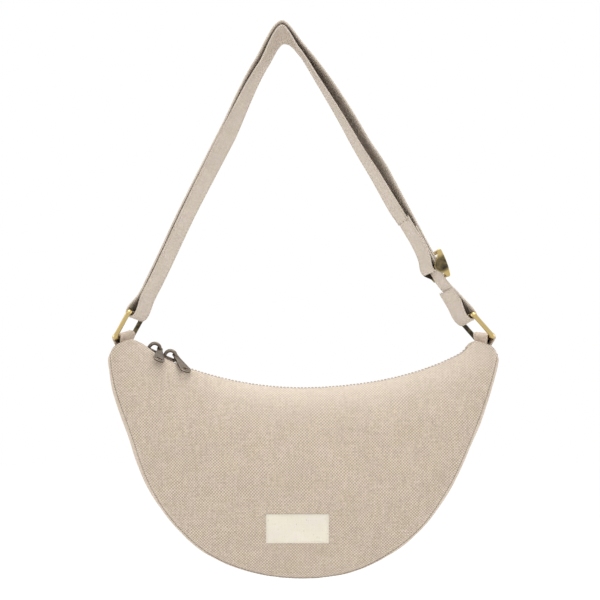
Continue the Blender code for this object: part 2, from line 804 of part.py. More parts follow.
def add_strap_end(parts):
    """The sewn-back end: down beside the outer layer, round the middle bar and up again."""
    down, out, across, _ = slide_axes()
    bar = middle_bar()
    radius = MIDDLE_BAR_RADIUS + GAP + STRAP_THICK / 2
    first = on_slide(adjuster_place()) - out * (STRAP_THICK + GAP)
    second = first - out * (STRAP_THICK + GAP)
    wrap = arc(bar, out * radius, out.cross(down), math.pi, 8)
    meet = ADJUSTER_LENGTH / 2
    path = [first - down * STRAP_END_FOLD, first - down * meet, *wrap]
    path += [second - down * meet, second - down * STRAP_END_REACH]
    end = ribbon("strap_end", path, [across] * len(path), STRAP_WIDTH, STRAP_THICK, parts)
    put_origin(end, on_slide(adjuster_place()))
    dress(end, CANVAS_COLOUR)


def add_adjuster(parts):
    """A bowed slide: end bars outside the band, middle bar inside it, lens-shaped side plates."""
    down, out, across, _ = slide_axes()
    face = STRAP_THICK / 2
    half = ADJUSTER_LENGTH / 2
    span = STRAP_WIDTH + 2 * (SIDE_PLAY + SIDE_PLATE)
    depth = STRAP_THICK + 2 * GAP + MIDDLE_BAR_RADIUS + face
    bars = (
        (-half, face + TOP_BAR_HEIGHT, END_BAR_RADIUS),
        (half, face + LOW_BAR_HEIGHT, END_BAR_RADIUS),
        (0, -depth, MIDDLE_BAR_RADIUS),
    )
    solids = []
    outline = side_plate_outline(half, face, depth)
    for side in (-1, 1):
        plate = flat_plate("plate", outline, [], SIDE_PLATE, parts)
        plate.data.transform(Matrix.Translation((0, side * (span - SIDE_PLATE) / 2, 0)))
        solids.append(plate)
    solids += [solid_rod(r, span - SIDE_PLATE, Vector((h, 0, -s)), parts) for s, h, r in bars]
    adjuster = join_solids("adjuster", [solids[2], solids[0], solids[1], *solids[3:]], parts)
    place = on_slide(adjuster_place())
    # drawn with x out of the band, z up the strap and y across it
    turn = Matrix((out, across, -down)).transposed()
    if turn.determinant() < 0:
        adjuster.data.transform(Matrix.Diagonal((1, -1, 1, 1)))
        flip_faces(adjuster)
        turn = Matrix((out, -across, -down)).transposed()
    adjuster.data.transform(turn.to_4x4())
    adjuster.location = place
    dress(adjuster, BRASS_COLOUR, 0.35, 1)


def side_plate_outline(half, face, depth):
    """Outline of a side plate in the plane of the slide: x out of the band, z up the strap."""
    high, low = face + TOP_BAR_HEIGHT, face + LOW_BAR_HEIGHT
    radius = END_BAR_RADIUS + BAR_RIM
    middle = (high + low) / 2
    bow = face + BOW_HEIGHT - middle - radius
    sag = depth + MIDDLE_BAR_RADIUS + BAR_RIM + middle - radius
    ends, lens = 6, 7
    along = [2 * i / lens - 1 for i in range(1, lens)]
    points = [knob_point(high, half, radius, math.pi * (1 - i / ends)) for i in range(ends + 1)]
    for t in along[::-1]:
        points.append((middle + (high - low) / 2 * t + radius + bow * (1 - t**2), half * t))
    points += [knob_point(low, -half, radius, -math.pi * i / ends) for i in range(ends + 1)]
    for t in along:
        points.append((middle + (high - low) / 2 * t - radius - sag * (1 - t**2) ** 2, half * t))
    return points


def knob_point(x, z, radius, angle):
    return (x + radius * math.cos(angle), z + radius * math.sin(angle))


# Sliders and pullers, drawn with X along the zip and Z out of the bag


def slider_frame(place_x):
    angle = math.asin(place_x / ZIP_RADIUS)
    return Matrix.Translation(on_zip_line(angle)) @ Matrix.Rotation(-angle, 4, "Y")


def add_slider(name, place_x, parts):
    """Two plates joined by a thin post in the coil's slit, with flanges and a bridge for the puller."""
    top_plate = PLATE_THICK / 2
    low_face = -(tape_depth() + TAPE_THICK + GAP)
    low_plate = low_face - PLATE_THICK / 2
    solids = [
        solid_box((SLIDER_LENGTH, SLIDER_WIDTH, PLATE_THICK), Vector((0, 0, top_plate)), parts),
        solid_box((SLIDER_LENGTH, SLIDER_WIDTH, PLATE_THICK), Vector((0, 0, low_plate)), parts),
    ]
    post_height = top_plate - low_plate
    solids.append(
        solid_box((POST_LENGTH, POST_THICK, post_height), Vector((0, 0, (top_plate + low_plate) / 2)), parts)
    )
    for side in (-1, 1):
        across = side * (SLIDER_WIDTH - FLANGE_THICK) / 2
        size = (SLIDER_LENGTH, FLANGE_THICK, FLANGE_DEPTH + PLATE_THICK)
        solids.append(solid_box(size, Vector((0, across, (PLATE_THICK - FLANGE_DEPTH) / 2)), parts))
    foot = PLATE_THICK - BRIDGE_FOOT
    height = BRIDGE_HEIGHT + BRIDGE_FOOT
    outer = bridge_outline(BRIDGE_LENGTH, foot, height)
    inner = bridge_outline(BRIDGE_LENGTH - 2 * BRIDGE_BAND, foot, height - BRIDGE_BAND)
    arch = flat_plate("arch", outer + inner[::-1], [], BRIDGE_BAND, parts)
    solids.append(arch)
    slider = join_solids(name, solids, parts)
    frame = slider_frame(place_x)
    slider.data.transform(frame)
    put_origin(slider, arc_centre())
    slider.data.set_sharp_from_angle(angle=math.radians(35))
    dress(slider, GUNMETAL_COLOUR, 0.4, 1)


def bridge_outline(length, foot, height):
    """An arch with slanting shoulders, open at its feet."""
    return [(x * length, foot + z * height) for x, z in BRIDGE_SHARES]


def bridge_leg(place_x, leg_share):
    """A place on the arch's right shoulder, where the puller hangs."""
    foot = PLATE_THICK - BRIDGE_FOOT
    (x, z), (high_x, high_z) = BRIDGE_SHARES[-2], BRIDGE_SHARES[-3]
    share_x, share_z = x + (high_x - x) * leg_share, z + (high_z - z) * leg_share
    height = BRIDGE_HEIGHT + BRIDGE_FOOT - BRIDGE_BAND / 2
    across = share_x * (BRIDGE_LENGTH - BRIDGE_BAND)
    return slider_frame(place_x) @ Vector((across, 0, foot + share_z * height))


def add_puller(name, place_x, leg_share, direction, parts):
    """A tapered plate with an eye round the bridge and a slot near its foot, square to the zip."""
    eye = PULLER_EYE_LENGTH / 2
    start = -(eye + PULLER_EYE_RIM)
    foot = PULLER_FOOT / 2
    neck = PULLER_NECK / 2
    end = start + PULLER_LENGTH
    tip = neck * PULLER_TIP
    outline = [(-tip, start), (-neck, start + eye), (-neck, eye + PULLER_EYE_RIM)]
    for i in range(9):
        turn = math.pi * (1 - i / 8)
        outline.append((foot * math.cos(turn), end - foot + foot * math.sin(turn)))
    outline += [(neck, eye + PULLER_EYE_RIM), (neck, start + eye), (tip, start)]
    half = PULLER_EYE_WIDTH / 2
    eye_hole = [(half * math.cos(a), eye * math.sin(a)) for a in (math.tau * i / 10 for i in range(10))]
    slot = [
        (foot * PULLER_SLOT[0] * math.cos(a), end - foot + foot * PULLER_SLOT[1] * math.sin(a))
        for a in (math.tau * i / 12 for i in range(12))
    ]
    puller = flat_plate(name, outline, [eye_hole, slot], PULLER_THICK, parts)
    along_zip = slider_frame(place_x).to_3x3() @ RIGHT
    direction = direction.normalized()
    across = (along_zip - direction * along_zip.dot(direction)).normalized()
    turn = Matrix((across, direction.cross(across), direction)).transposed()
    puller.data.transform(turn.to_4x4())
    puller.location = bridge_leg(place_x, leg_share)
    dress(puller, GUNMETAL_COLOUR, 0.4, 1)


def add_label(parts):
    """A woven label laid on the front panel's curve."""
    cuts_x, cuts_z = 12, 6
    rows = []
    for k in range(cuts_z + 1):
        row = []
        for i in range(cuts_x + 1):
            x = LABEL_WIDTH * (i / cuts_x - 0.5)
            z = LABEL_HEIGHT * (0.5 - k / cuts_z)
            place = Matrix.Rotation(LABEL_LEAN, 3, "Y") @ Vector((x, 0, z))
            place += Vector((BAG_OFFSET + LABEL_SHIFT, -SEAM_HALF_DEPTH - PANEL_BULGE * 2, -LABEL_DROP))
            row.append(place)
        rows.append(row)
    label = grid_object("label", rows, parts, flip=True)
    lay = label.modifiers.new("Lay", "SHRINKWRAP")
    lay.target = bpy.data.objects["front_panel"]
    lay.wrap_method = "PROJECT"
    lay.use_project_y = True
    lay.use_project_x = False
    lay.use_project_z = False
    lay.use_positive_direction = True
    lay.use_negative_direction = False
    lay.offset = LABEL_THICK + GAP
    thicken(label, LABEL_THICK)
    dress(label, LABEL_COLOUR)


clear_scene()
bag_parts = new_collection("half_moon_crossbody_bag")
add_panels(bag_parts)
add_gusset(bag_parts)
add_zip_ends(bag_parts)
add_zip(bag_parts)
add_lining(bag_parts)
add_label(bag_parts)
add_tabs(bag_parts)
hang_from(low_bar(-1), "bag_pivot", list(bag_parts.objects))
add_rings(bag_parts)
add_strap(bag_parts)
add_strap_end(bag_parts)
add_adjuster(bag_parts)
left_place = SLIDER_INSET - peak_reach()
right_place = left_place + SLIDER_SPACING
add_slider("slider_left", left_place, bag_parts)
add_slider("slider_right", right_place, bag_parts)
add_puller("puller_left", left_place, LEFT_LEG_SHARE, Vector(LEFT_PULLER_WAY), bag_parts)
add_puller("puller_right", right_place, RIGHT_LEG_SHARE, Vector(RIGHT_PULLER_WAY), bag_parts)
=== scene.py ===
# Half moon crossbody bag: the sewn canvas shell, its strap and its hardware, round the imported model.
# Metres, +Z up, the front of the bag towards -Y. The origin is the point that the strap hangs from.
import math

import bmesh
import bpy
import numpy as np
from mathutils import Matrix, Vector
from mathutils.bvhtree import BVHTree


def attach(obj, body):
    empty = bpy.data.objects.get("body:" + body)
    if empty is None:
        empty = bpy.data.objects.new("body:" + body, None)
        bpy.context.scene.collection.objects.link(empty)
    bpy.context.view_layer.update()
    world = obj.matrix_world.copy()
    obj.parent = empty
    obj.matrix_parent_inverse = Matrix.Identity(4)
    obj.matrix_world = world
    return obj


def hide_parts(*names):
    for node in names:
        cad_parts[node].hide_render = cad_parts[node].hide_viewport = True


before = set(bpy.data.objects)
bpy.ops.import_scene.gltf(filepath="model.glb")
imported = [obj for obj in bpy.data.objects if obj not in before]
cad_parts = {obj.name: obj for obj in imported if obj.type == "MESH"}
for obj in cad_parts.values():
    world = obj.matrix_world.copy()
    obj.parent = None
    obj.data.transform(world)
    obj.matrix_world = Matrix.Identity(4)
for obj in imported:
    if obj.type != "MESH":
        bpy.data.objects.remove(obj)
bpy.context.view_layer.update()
bpy.context.scene.view_settings.view_transform = "Standard"
print("frame loaded")

upWay, backWay, rightWay = np.array([0.0, 0, 1]), np.array([0.0, 1, 0]), np.array([1.0, 0, 0])
# the words for paired pieces and their sides: left and front are -1
leftRight = (("Left", "left", -1), ("Right", "right", 1))
frontBack = (("front", -1), ("back", 1))
gap = 0.0004  # room between pieces that touch


# Mesh tools

def linked(thing):
    bpy.context.scene.collection.objects.link(thing)
    return thing


def meshPiece(name, points, faces, uv=None, smooth=True):
    # points is (n, 3); faces is a list or an array of vertex numbers; uv gives a place for each vertex
    mesh = bpy.data.meshes.new(name)
    faces = faces.tolist() if isinstance(faces, np.ndarray) else faces
    mesh.from_pydata(np.asarray(points, float).tolist(), [], faces)
    if smooth:
        mesh.shade_smooth()
    if uv is not None:
        layer = mesh.uv_layers.new(name="cloth")
        corner = np.zeros(len(mesh.loops), np.int32)
        mesh.loops.foreach_get("vertex_index", corner)
        layer.data.foreach_set("uv", np.asarray(uv, np.float32)[corner].ravel())
    return linked(bpy.data.objects.new(name, mesh))


def setMask(piece, name, values):
    # one number for each vertex, read by the materials
    layer = piece.data.attributes.new(name, "FLOAT", "POINT")
    layer.data.foreach_set("value", np.ascontiguousarray(values, np.float32).ravel())


def placesOf(mesh):
    co = np.zeros(len(mesh.vertices) * 3)
    mesh.vertices.foreach_get("co", co)
    return co.reshape(-1, 3)


def gridFaces(rows, columns, closeRows=False, closeColumns=False):
    # the quads between neighbouring rows and columns of a grid that is numbered row by row
    i = np.arange(rows if closeRows else rows - 1)[:, None]
    j = np.arange(columns if closeColumns else columns - 1)[None, :]
    row, nextRow, nextColumn = i * columns, (i + 1) % rows * columns, (j + 1) % columns
    return np.stack([row + j, row + nextColumn, nextRow + nextColumn, nextRow + j], -1).reshape(-1, 4)


def cappedFaces(rows, columns):
    # a tube of rings, closed at both ends
    last = (rows - 1) * columns
    caps = [list(range(columns))[::-1], list(range(last, last + columns))]
    return gridFaces(rows, columns, closeColumns=True).tolist() + caps


def gridPiece(name, points, uv=None, flip=False, closed=False):
    # a surface through a grid of points, (rows, columns, 3)
    faces = gridFaces(*points.shape[:2], closed, closed)
    uv = None if uv is None else uv.reshape(-1, 2)
    return meshPiece(name, points.reshape(-1, 3), faces[:, ::-1] if flip else faces, uv)


def joined(parts):
    # several lists of points and faces as one
    points, faces, first = [], [], 0
    for somePoints, someFaces in parts:
        points.append(somePoints)
        faces += [[k + first for k in face] for face in someFaces]
        first += len(somePoints)
    return np.vstack(points), faces


def metalPiece(name, parts):
    # several closed forms as one mesh, with doubled points joined and all faces outward
    piece = meshPiece(name, *joined(parts))
    bm = bmesh.new()
    bm.from_mesh(piece.data)
    bmesh.ops.remove_doubles(bm, verts=bm.verts, dist=1e-7)
    bmesh.ops.recalc_face_normals(bm, faces=bm.faces)
    bm.to_mesh(piece.data)
    bm.free()
    return piece


# Curves and shares

def unit(v):
    return v / np.linalg.norm(v, axis=-1, keepdims=True)


def blendStep(t):
    t = np.clip(t, 0, 1)
    return t * t * (3 - 2 * t)


def bell(x, width, middle=0.0):
    return np.exp(-(((x - middle) / width) ** 2))


def near(distance, reach):
    # 1 at no distance, falling straight to 0 at the reach
    return np.clip(1 - distance / reach, 0, 1)


def circle(count):
    turn = np.linspace(0, math.tau, count, endpoint=False)
    return np.cos(turn), np.sin(turn)


def smoothed(values, times):
    # each value but the ends averaged with its neighbours
    for _ in range(times):
        values[1:-1] = (values[:-2] + 2 * values[1:-1] + values[2:]) / 4
    return values


def smoothCurve(knots, steps):
    # a cubic through the knots; each knot's direction weighs its two neighbours by their distances.
    # Gives the points and, for each, the number of its knot plus its share of the way to the next
    knots = np.asarray(knots, float)
    gaps = np.diff(knots, axis=0)
    spans = np.linalg.norm(gaps, axis=1, keepdims=True)
    way = gaps / spans
    inner = (way[:-1] * spans[1:] + way[1:] * spans[:-1]) / (spans[:-1] + spans[1:])
    slope = np.vstack([way[:1], inner, way[-1:]])
    t = np.linspace(0, 1, steps, endpoint=False)[None, :, None]
    place = knots[:-1, None] * (1 + 2 * t) * (1 - t) ** 2 + knots[1:, None] * (3 - 2 * t) * t**2
    place += (slope[:-1, None] * t * (1 - t) ** 2 - slope[1:, None] * (1 - t) * t**2) * spans[:, None]
    share = np.arange(len(knots) - 1)[:, None] + t[0, :, 0][None, :]
    return np.vstack([place.reshape(-1, 3), knots[-1:]]), np.append(share.ravel(), len(knots) - 1.0)


def bandCurve(knots, widths, steps):
    # a smooth curve through the knots, with the band's width direction blended from knot to knot
    path, share = smoothCurve(knots, steps)
    k = np.minimum(share.astype(int), len(knots) - 2)
    part = (share - k)[:, None]
    return path, widths[k] * (1 - part) + widths[k + 1] * part


def alongOf(points):
    # the length so far along a curve, or down each column of a grid
    return np.cumsum(np.linalg.norm(np.diff(points, axis=0, prepend=points[:1]), axis=-1), 0)


def evenly(points, count, *others):
    # the curve again at count equal steps, with other values carried along
    along = alongOf(points)
    at = np.linspace(0, along[-1], count + 1)
    found = [np.stack([np.interp(at, along, column) for column in values.T], 1) for values in (points, *others)]
    return found if others else found[0]


def outwards(normals, path, centre):
    # the normals, turned where needed to point away from a centre
    return normals * np.sign(np.sum(normals * (path - centre), -1, keepdims=True))


def turned(v, axis, angle):
    # vectors v turned about a unit axis by angles
    angle = angle[..., None]
    onAxis = axis * (v @ axis)[..., None]
    return v * np.cos(angle) + np.cross(axis, v) * np.sin(angle) + onAxis * (1 - np.cos(angle))


def ripple(along, period, seed):
    # an uneven wave, from three sines whose periods don't share a measure
    a = along / period * math.tau
    wave = 0.55 * np.sin(a + seed + 1.7 * np.sin(a * 0.17 + seed))
    return wave + 0.3 * np.sin(a * 1.73 + 2.1 * seed) + 0.15 * np.sin(a * 0.41 + 3 * seed)


# Shader nodes

class Shading:
    # short words for adding nodes to one tree; an input takes a number, a colour or vector, or an output
    def __init__(self, tree):
        self.tree = tree

    def feed(self, sockets, values):
        for word, value in values.items():
            if isinstance(value, (int, float)):
                sockets[word].default_value = value
            elif isinstance(value, tuple):
                sockets[word].default_value = (*value, 1)[:len(sockets[word].default_value)]
            else:
                self.tree.links.new(value, sockets[word])

    def add(self, kind, values=None, **settings):
        node = self.tree.nodes.new("ShaderNode" + kind)
        for word, value in settings.items():
            setattr(node, word, value)
        self.feed(node.inputs, values or {})
        return node.outputs

    def math(self, operation, *values, clamp=False):
        return self.add("Math", dict(enumerate(values)), operation=operation, use_clamp=clamp)[0]

    def sum(self, *values):
        # the last addition is held between 0 and 1
        total = values[0]
        for value in values[1:-1]:
            total = self.math("ADD", total, value)
        return self.math("ADD", total, values[-1], clamp=True)

    def mix(self, share, a, b, kind="MIX"):
        return self.add("Mix", {0: share, 6: a, 7: b}, data_type="RGBA", blend_type=kind)[2]

    def span(self, value, low, high, outLow, outHigh, kind="LINEAR"):
        ends = {"From Min": low, "From Max": high, "To Min": outLow, "To Max": outHigh}
        return self.add("MapRange", {"Value": value, **ends}, interpolation_type=kind)["Result"]

    def noise(self, vector, scale, detail=2.0, roughness=0.5):
        values = {"Vector": vector, "Scale": scale, "Detail": detail, "Roughness": roughness}
        return self.add("TexNoise", values)["Fac"]

    def scaled(self, vector, scale, shift=(0, 0, 0)):
        return self.add("Mapping", {"Vector": vector, "Scale": scale, "Location": shift})[0]

    def mask(self, name):
        return self.add("Attribute", attribute_name=name)["Fac"]

    def bump(self, height, distance, strength):
        return self.add("Bump", {"Height": height, "Distance": distance, "Strength": strength})[0]

    def seenStraight(self):
        # 1 for rays from the camera, reflections and glass, 0 for the rays that light things
        path = self.add("LightPath")
        either = self.math("MAXIMUM", path["Is Camera Ray"], path["Is Glossy Ray"])
        return self.math("MAXIMUM", either, path["Is Transmission Ray"])


def emptyTree(owner):
    owner.use_nodes = True
    owner.node_tree.nodes.clear()
    return Shading(owner.node_tree)


def newGroup(name, inputs, outputs):
    # an input's kind follows its first value: none for a vector, a tuple for a colour
    group = bpy.data.node_groups.new(name, "ShaderNodeTree")
    for word, value in inputs.items():
        kind = "Vector" if value is None else "Color" if isinstance(value, tuple) else "Float"
        socket = group.interface.new_socket(name=word, in_out="INPUT", socket_type="NodeSocket" + kind)
        if value is not None:
            socket.default_value = value
    for word in outputs:
        kind = "Color" if word == "Color" else "Float"
        group.interface.new_socket(name=word, in_out="OUTPUT", socket_type="NodeSocket" + kind)
    given, result = group.nodes.new("NodeGroupInput"), group.nodes.new("NodeGroupOutput")
    return Shading(group), given.outputs, result.inputs


# Camera, light and room

studio = {
    "distance": 2.2, "aimX": 0.0136, "aimZ": -0.2585, "shownWidth": 0.5844, "sensor": 36, "worldFill": 0.66,
    "fillColour": (1.0, 0.985, 0.96), "floorZ": -0.64, "floorHalf": 3.0, "floorColour": (0.9, 0.9, 0.9),
    "floorGlow": 1.09, "floorGlowShare": 0.82,
    "lamps": {  # place, height aimed at over the origin, size, power
        "keyLamp": ((-0.7, -1.7, 1.1), -0.3, 1.2, 6), "topLamp": ((0.2, -0.12, 1.3), -0.3, 1.4, 23),
        "leftLamp": ((-1.5, 0.3, -0.2), -0.35, 1.0, 6), "rightLamp": ((1.5, 0.3, -0.2), -0.35, 1.0, 6),
    },
}


def makeCamera():
    # the lens shows studio["shownWidth"] across the picture at the bag's middle
    data = bpy.data.cameras.new("camera")
    data.sensor_width = studio["sensor"]
    data.lens = studio["sensor"] * studio["distance"] / studio["shownWidth"]
    data.clip_start, data.clip_end = 0.05, 50
    camera = linked(bpy.data.objects.new("camera", data))
    camera.location = (studio["aimX"], -studio["distance"], studio["aimZ"])
    camera.rotation_euler = (math.pi / 2, 0, 0)
    bpy.context.scene.camera = camera


def makeWorld():
    world = bpy.data.worlds.new("studio")
    n = emptyTree(world)
    fill = n.add("Background", {"Color": studio["fillColour"], "Strength": studio["worldFill"]})[0]
    shown = n.add("Background", {"Color": (1, 1, 1), "Strength": 1.0})[0]
    mixed = n.add("MixShader", {"Fac": n.seenStraight(), 1: fill, 2: shown})[0]
    n.add("OutputWorld", {"Surface": mixed})
    bpy.context.scene.world = world


def makeLamps():
    for name, (place, aimZ, size, power) in studio["lamps"].items():
        data = bpy.data.lights.new(name, "AREA")
        data.shape, data.size, data.energy = "SQUARE", size, power
        lamp = linked(bpy.data.objects.new(name, data))
        lamp.location = place
        lamp.rotation_euler = (Vector((0, 0, aimZ)) - Vector(place)).to_track_quat("-Z", "Y").to_euler()


def makeFloor():
    corners = np.array([(-1, -1, 0), (1, -1, 0), (1, 1, 0), (-1, 1, 0)]) * studio["floorHalf"]
    floor = meshPiece("floor", corners + upWay * studio["floorZ"], [(0, 1, 2, 3)], smooth=False)
    material = bpy.data.materials.new("floorWhite")
    n = emptyTree(material)
    lit = n.add("BsdfDiffuse", {"Color": studio["floorColour"]})[0]
    shown = n.add("Emission", {"Strength": studio["floorGlow"]})[0]
    share = n.math("MULTIPLY", n.seenStraight(), studio["floorGlowShare"])
    n.add("OutputMaterial", {"Surface": n.add("MixShader", {"Fac": share, 1: lit, 2: shown})[0]})
    floor.data.materials.append(material)


# Shared finishes

def buildWeaveGroup():
    # two threads over two: a chequer of pale warp and brown weft, each thread swelling and thinning
    n, given, result = newGroup(
        "basketWeave",
        {"Vector": None, "Cell": 0.0014, "Pale": (0.8, 0.7, 0.6, 1), "Brown": (0.45, 0.37, 0.3, 1),
         "Contrast": 1.0},
        ("Color", "Height", "Roughness"),
    )
    place = given["Vector"]
    apart = n.add("SeparateXYZ", {0: place})
    waver = n.span(n.noise(place, 34, 1), 0.3, 0.7, -0.0007, 0.0007)
    halfTurn = n.math("DIVIDE", math.pi, given["Cell"])
    a = n.math("MULTIPLY", n.math("ADD", apart["X"], waver), halfTurn)
    b = n.math("MULTIPLY", n.math("SUBTRACT", apart["Y"], waver), halfTurn)
    chequer = n.math("MULTIPLY", n.math("SINE", a), n.math("SINE", b))
    crown = n.math("ABSOLUTE", chequer)
    warpUp = n.span(chequer, -0.4, 0.4, 0, 1, "SMOOTHSTEP")
    # fine ridges of the two threads in a cell, along the cell's own threads
    ridgeA, ridgeB = (n.math("ABSOLUTE", n.math("SINE", n.math("MULTIPLY", way, 2.0))) for way in (a, b))
    ridge = n.math("ADD", n.math("MULTIPLY", ridgeA, warpUp),
                   n.math("MULTIPLY", ridgeB, n.math("SUBTRACT", 1.0, warpUp)))
    # in patches the two threads differ more or less
    patch = n.span(n.noise(n.scaled(place, (1, 1, 1), (2, 7, 0)), 46, 2, 0.6), 0.36, 0.62, 0.5, 1.15)
    share = n.math("MULTIPLY", n.math("SUBTRACT", warpUp, 0.5), patch)
    share = n.math("MULTIPLY_ADD", share, given["Contrast"], 0.5)
    # every crossing of threads has its own chance shade
    pair = n.add("CombineXYZ", {0: n.math("DIVIDE", a, math.pi), 1: n.math("DIVIDE", b, math.pi)})[0]
    crossing = n.add("VectorMath", {0: pair}, operation="FLOOR")[0]
    chance = n.add("TexWhiteNoise", {"Vector": crossing}, noise_dimensions="2D")["Value"]
    # slubs: noise drawn out along each set of threads
    slubWarp = n.noise(n.scaled(place, (700, 40, 1)), 1)
    slubWeft = n.noise(n.scaled(place, (40, 700, 1), (3, 5, 0)), 1)
    share = n.sum(share, n.span(chance, 0, 1, -0.2, 0.2), n.span(slubWarp, 0.3, 0.7, -0.14, 0.14),
                  n.span(slubWeft, 0.3, 0.7, 0.12, -0.12))
    colour = n.mix(share, given["Brown"], given["Pale"])
    # darker between the threads, mottled, with dark flecks
    shade = n.math("MULTIPLY", n.span(n.noise(place, 28, 3, 0.6), 0.3, 0.7, 0.965, 1.03),
                   n.span(crown, 0, 0.35, 0.93, 1.0, "SMOOTHSTEP"))
    fleck = n.noise(n.scaled(place, (620, 300, 1), (9, 2, 0)), 1, 1)
    shade = n.math("MULTIPLY", shade, n.span(fleck, 0.66, 0.76, 1.0, 0.8))
    # broad patches that lean to pink or to straw
    hue = n.span(n.noise(n.scaled(place, (1, 1, 1), (5, 1, 0)), 60), 0.38, 0.62, 0, 1)
    colour = n.mix(1.0, colour, n.mix(hue, (1.0, 1.004, 0.972), (1.006, 0.994, 1.008)), "MULTIPLY")
    height = n.math("ADD", crown, n.math("MULTIPLY", ridge, 0.35))
    n.feed(result, {"Color": n.add("VectorMath", {0: colour, "Scale": shade}, operation="SCALE")[0],
                    "Height": height, "Roughness": n.span(height, 0, 1.3, 0.98, 0.84)})
    return n.tree


def buildTarnishGroup():
    # dark metal in the hollows and patches, bright where the edges are rubbed and where the mask says so; the mask
    # holds wear, painted light and painted shade
    n, given, result = newGroup(
        "tarnish",
        {"Vector": None, "Bright": (0.6, 0.45, 0.2, 1), "Dark": (0.05, 0.04, 0.03, 1), "RubbedAndLit": 0.5,
         "Grain": 300.0},
        ("Color", "Roughness", "Height"),
    )
    cloud = n.span(n.noise(given["Vector"], 120, 4, 0.6), 0.3, 0.7, -0.22, 0.22)
    edges = n.span(n.add("NewGeometry")["Pointiness"], 0.49, 0.56, 0, 0.45)
    fine = n.noise(given["Vector"], given["Grain"], 3)
    share = n.sum(given["RubbedAndLit"], cloud, edges, n.span(fine, 0.3, 0.7, -0.06, 0.06))
    n.feed(result, {"Color": n.mix(share, given["Dark"], given["Bright"]),
                    "Roughness": n.span(share, 0, 1, 0.52, 0.27), "Height": fine})
    return n.tree


weaveGroup, tarnishGroup = buildWeaveGroup(), buildTarnishGroup()


def newFinish(name):
    material = bpy.data.materials.new(name)
    material.use_nodes = True
    return material, Shading(material.node_tree), material.node_tree.nodes["Principled BSDF"].inputs


def clothMaterial(name, cell, pale, brown, contrast=1.0, depth=0.0004, strength=0.6):
    material, n, shader = newFinish(name)
    values = {"Vector": n.add("UVMap", uv_map="cloth")[0], "Cell": cell, "Pale": pale, "Brown": brown}
    weave = n.add("Group", {**values, "Contrast": contrast}, node_tree=weaveGroup)
    # painted shade darkens the creases and seams, and a painted highlight pales the top of the panels
    colour = n.mix(n.mask("crease"), weave["Color"], tuple(0.34 * c for c in brown))
    paintedTopColour = tuple(min(0.9, share * c) for share, c in zip((1.14, 1.17, 1.21), pale))
    n.feed(shader, {"Base Color": n.mix(n.mask("bleached"), colour, paintedTopColour), "Roughness": weave["Roughness"],
                    "Normal": n.bump(weave["Height"], depth, strength), "Sheen Weight": 0.12,
                    "Sheen Roughness": 0.6, "Specular IOR Level": 0.25})
    return material


def metalMaterial(name, bright, dark, wearAndLight, grain, paintedFrontLight=0.0):
    # the front share makes the finish brighter towards the front and darker towards the back: painted light and
    # painted shade
    material, n, shader = newFinish(name)
    place = n.add("TexCoord")["Object"]
    if paintedFrontLight:
        depth = n.add("SeparateXYZ", {0: place})["Y"]
        wearAndLight = n.span(depth, -0.018, 0.018, wearAndLight + paintedFrontLight, wearAndLight - paintedFrontLight)
    # the mask adds wear, painted highlights and painted shade, set piece by piece
    values = {"Bright": bright, "Dark": dark, "RubbedAndLit": n.math("ADD", n.mask("wornAndPaintedLight"), wearAndLight), "Grain": grain}
    coat = n.add("Group", {"Vector": place, **values}, node_tree=tarnishGroup)
    n.feed(shader, {"Base Color": coat["Color"], "Roughness": coat["Roughness"], "Metallic": 1.0,
                    "Normal": n.bump(coat["Height"], 0.00006, 0.5)})
    return material


def threadMaterial(name, colour):
    material, n, shader = newFinish(name)
    twist = n.span(n.noise(n.add("TexCoord")["Object"], 2600), 0.3, 0.7, 0.75, 1.0)
    n.feed(shader, {"Base Color": n.mix(twist, (0.25, 0.2, 0.15), colour), "Roughness": 0.7, "Sheen Weight": 0.2})
    return material


cloths = {  # weave's cell, pale thread, brown thread, contrast, depth and strength of the bump
    "canvas": (0.00142, (0.785, 0.673, 0.565), (0.458, 0.37, 0.288)),
    "strapCanvas": (0.00105, (0.765, 0.685, 0.60), (0.525, 0.45, 0.38), 0.8, 0.0003, 0.5),
    "liningCloth": (0.0006, (0.72, 0.65, 0.55), (0.60, 0.53, 0.44), 0.7, 0.0001, 0.4),
    "zipTape": (0.0005, (0.60, 0.52, 0.43), (0.40, 0.33, 0.26), 0.9, 0.0002, 0.5),
    "labelCloth": (0.00032, (0.92, 0.875, 0.775), (0.84, 0.785, 0.67), 0.8, 0.00008, 0.5),
}
metals = {  # bright, dark, how far rubbed, grain, painted light at the front and painted shade at the back
    "brass": ((0.555, 0.425, 0.185), (0.045, 0.038, 0.028), 0.62, 500, 0.55),
    "gunmetal": ((0.25, 0.205, 0.165), (0.022, 0.017, 0.013), 0.5, 900),
}
threads = {
    # the seam's thread is its own colour darkened by painted shade of the seam's groove
    "thread": (0.66, 0.57, 0.47), "seamThreadAndShade": (0.30, 0.235, 0.17), "labelThread": (0.84, 0.78, 0.66),
    "coilNylon": (0.50, 0.42, 0.33),
}
finish = {name: clothMaterial(name, *values) for name, values in cloths.items()}
finish.update({name: metalMaterial(name, *values) for name, values in metals.items()})
finish.update({name: threadMaterial(name, colour) for name, colour in threads.items()})
print("finishes ready")


def dress(piece, material, body, *nodes):
    piece.data.materials.clear()
    piece.data.materials.append(finish[material])
    if nodes:
        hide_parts(*nodes)
    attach(piece, body)
    return piece


def clothPiece(name, node, points, uv, thick, material="canvas", flip=False, **masks):
    # a sheet of cloth on the bag: a grid of points, its masks, and its thickness on the inner side
    piece = gridPiece(name, points, uv, flip)
    for mask, values in masks.items():
        setMask(piece, mask, values)
    wall = piece.modifiers.new("cloth", "SOLIDIFY")
    wall.thickness, wall.offset = thick, -1.0
    wall.use_even_offset, wall.thickness_clamp = True, 0
    return dress(piece, material, "bag", node)


# The bag's outlines

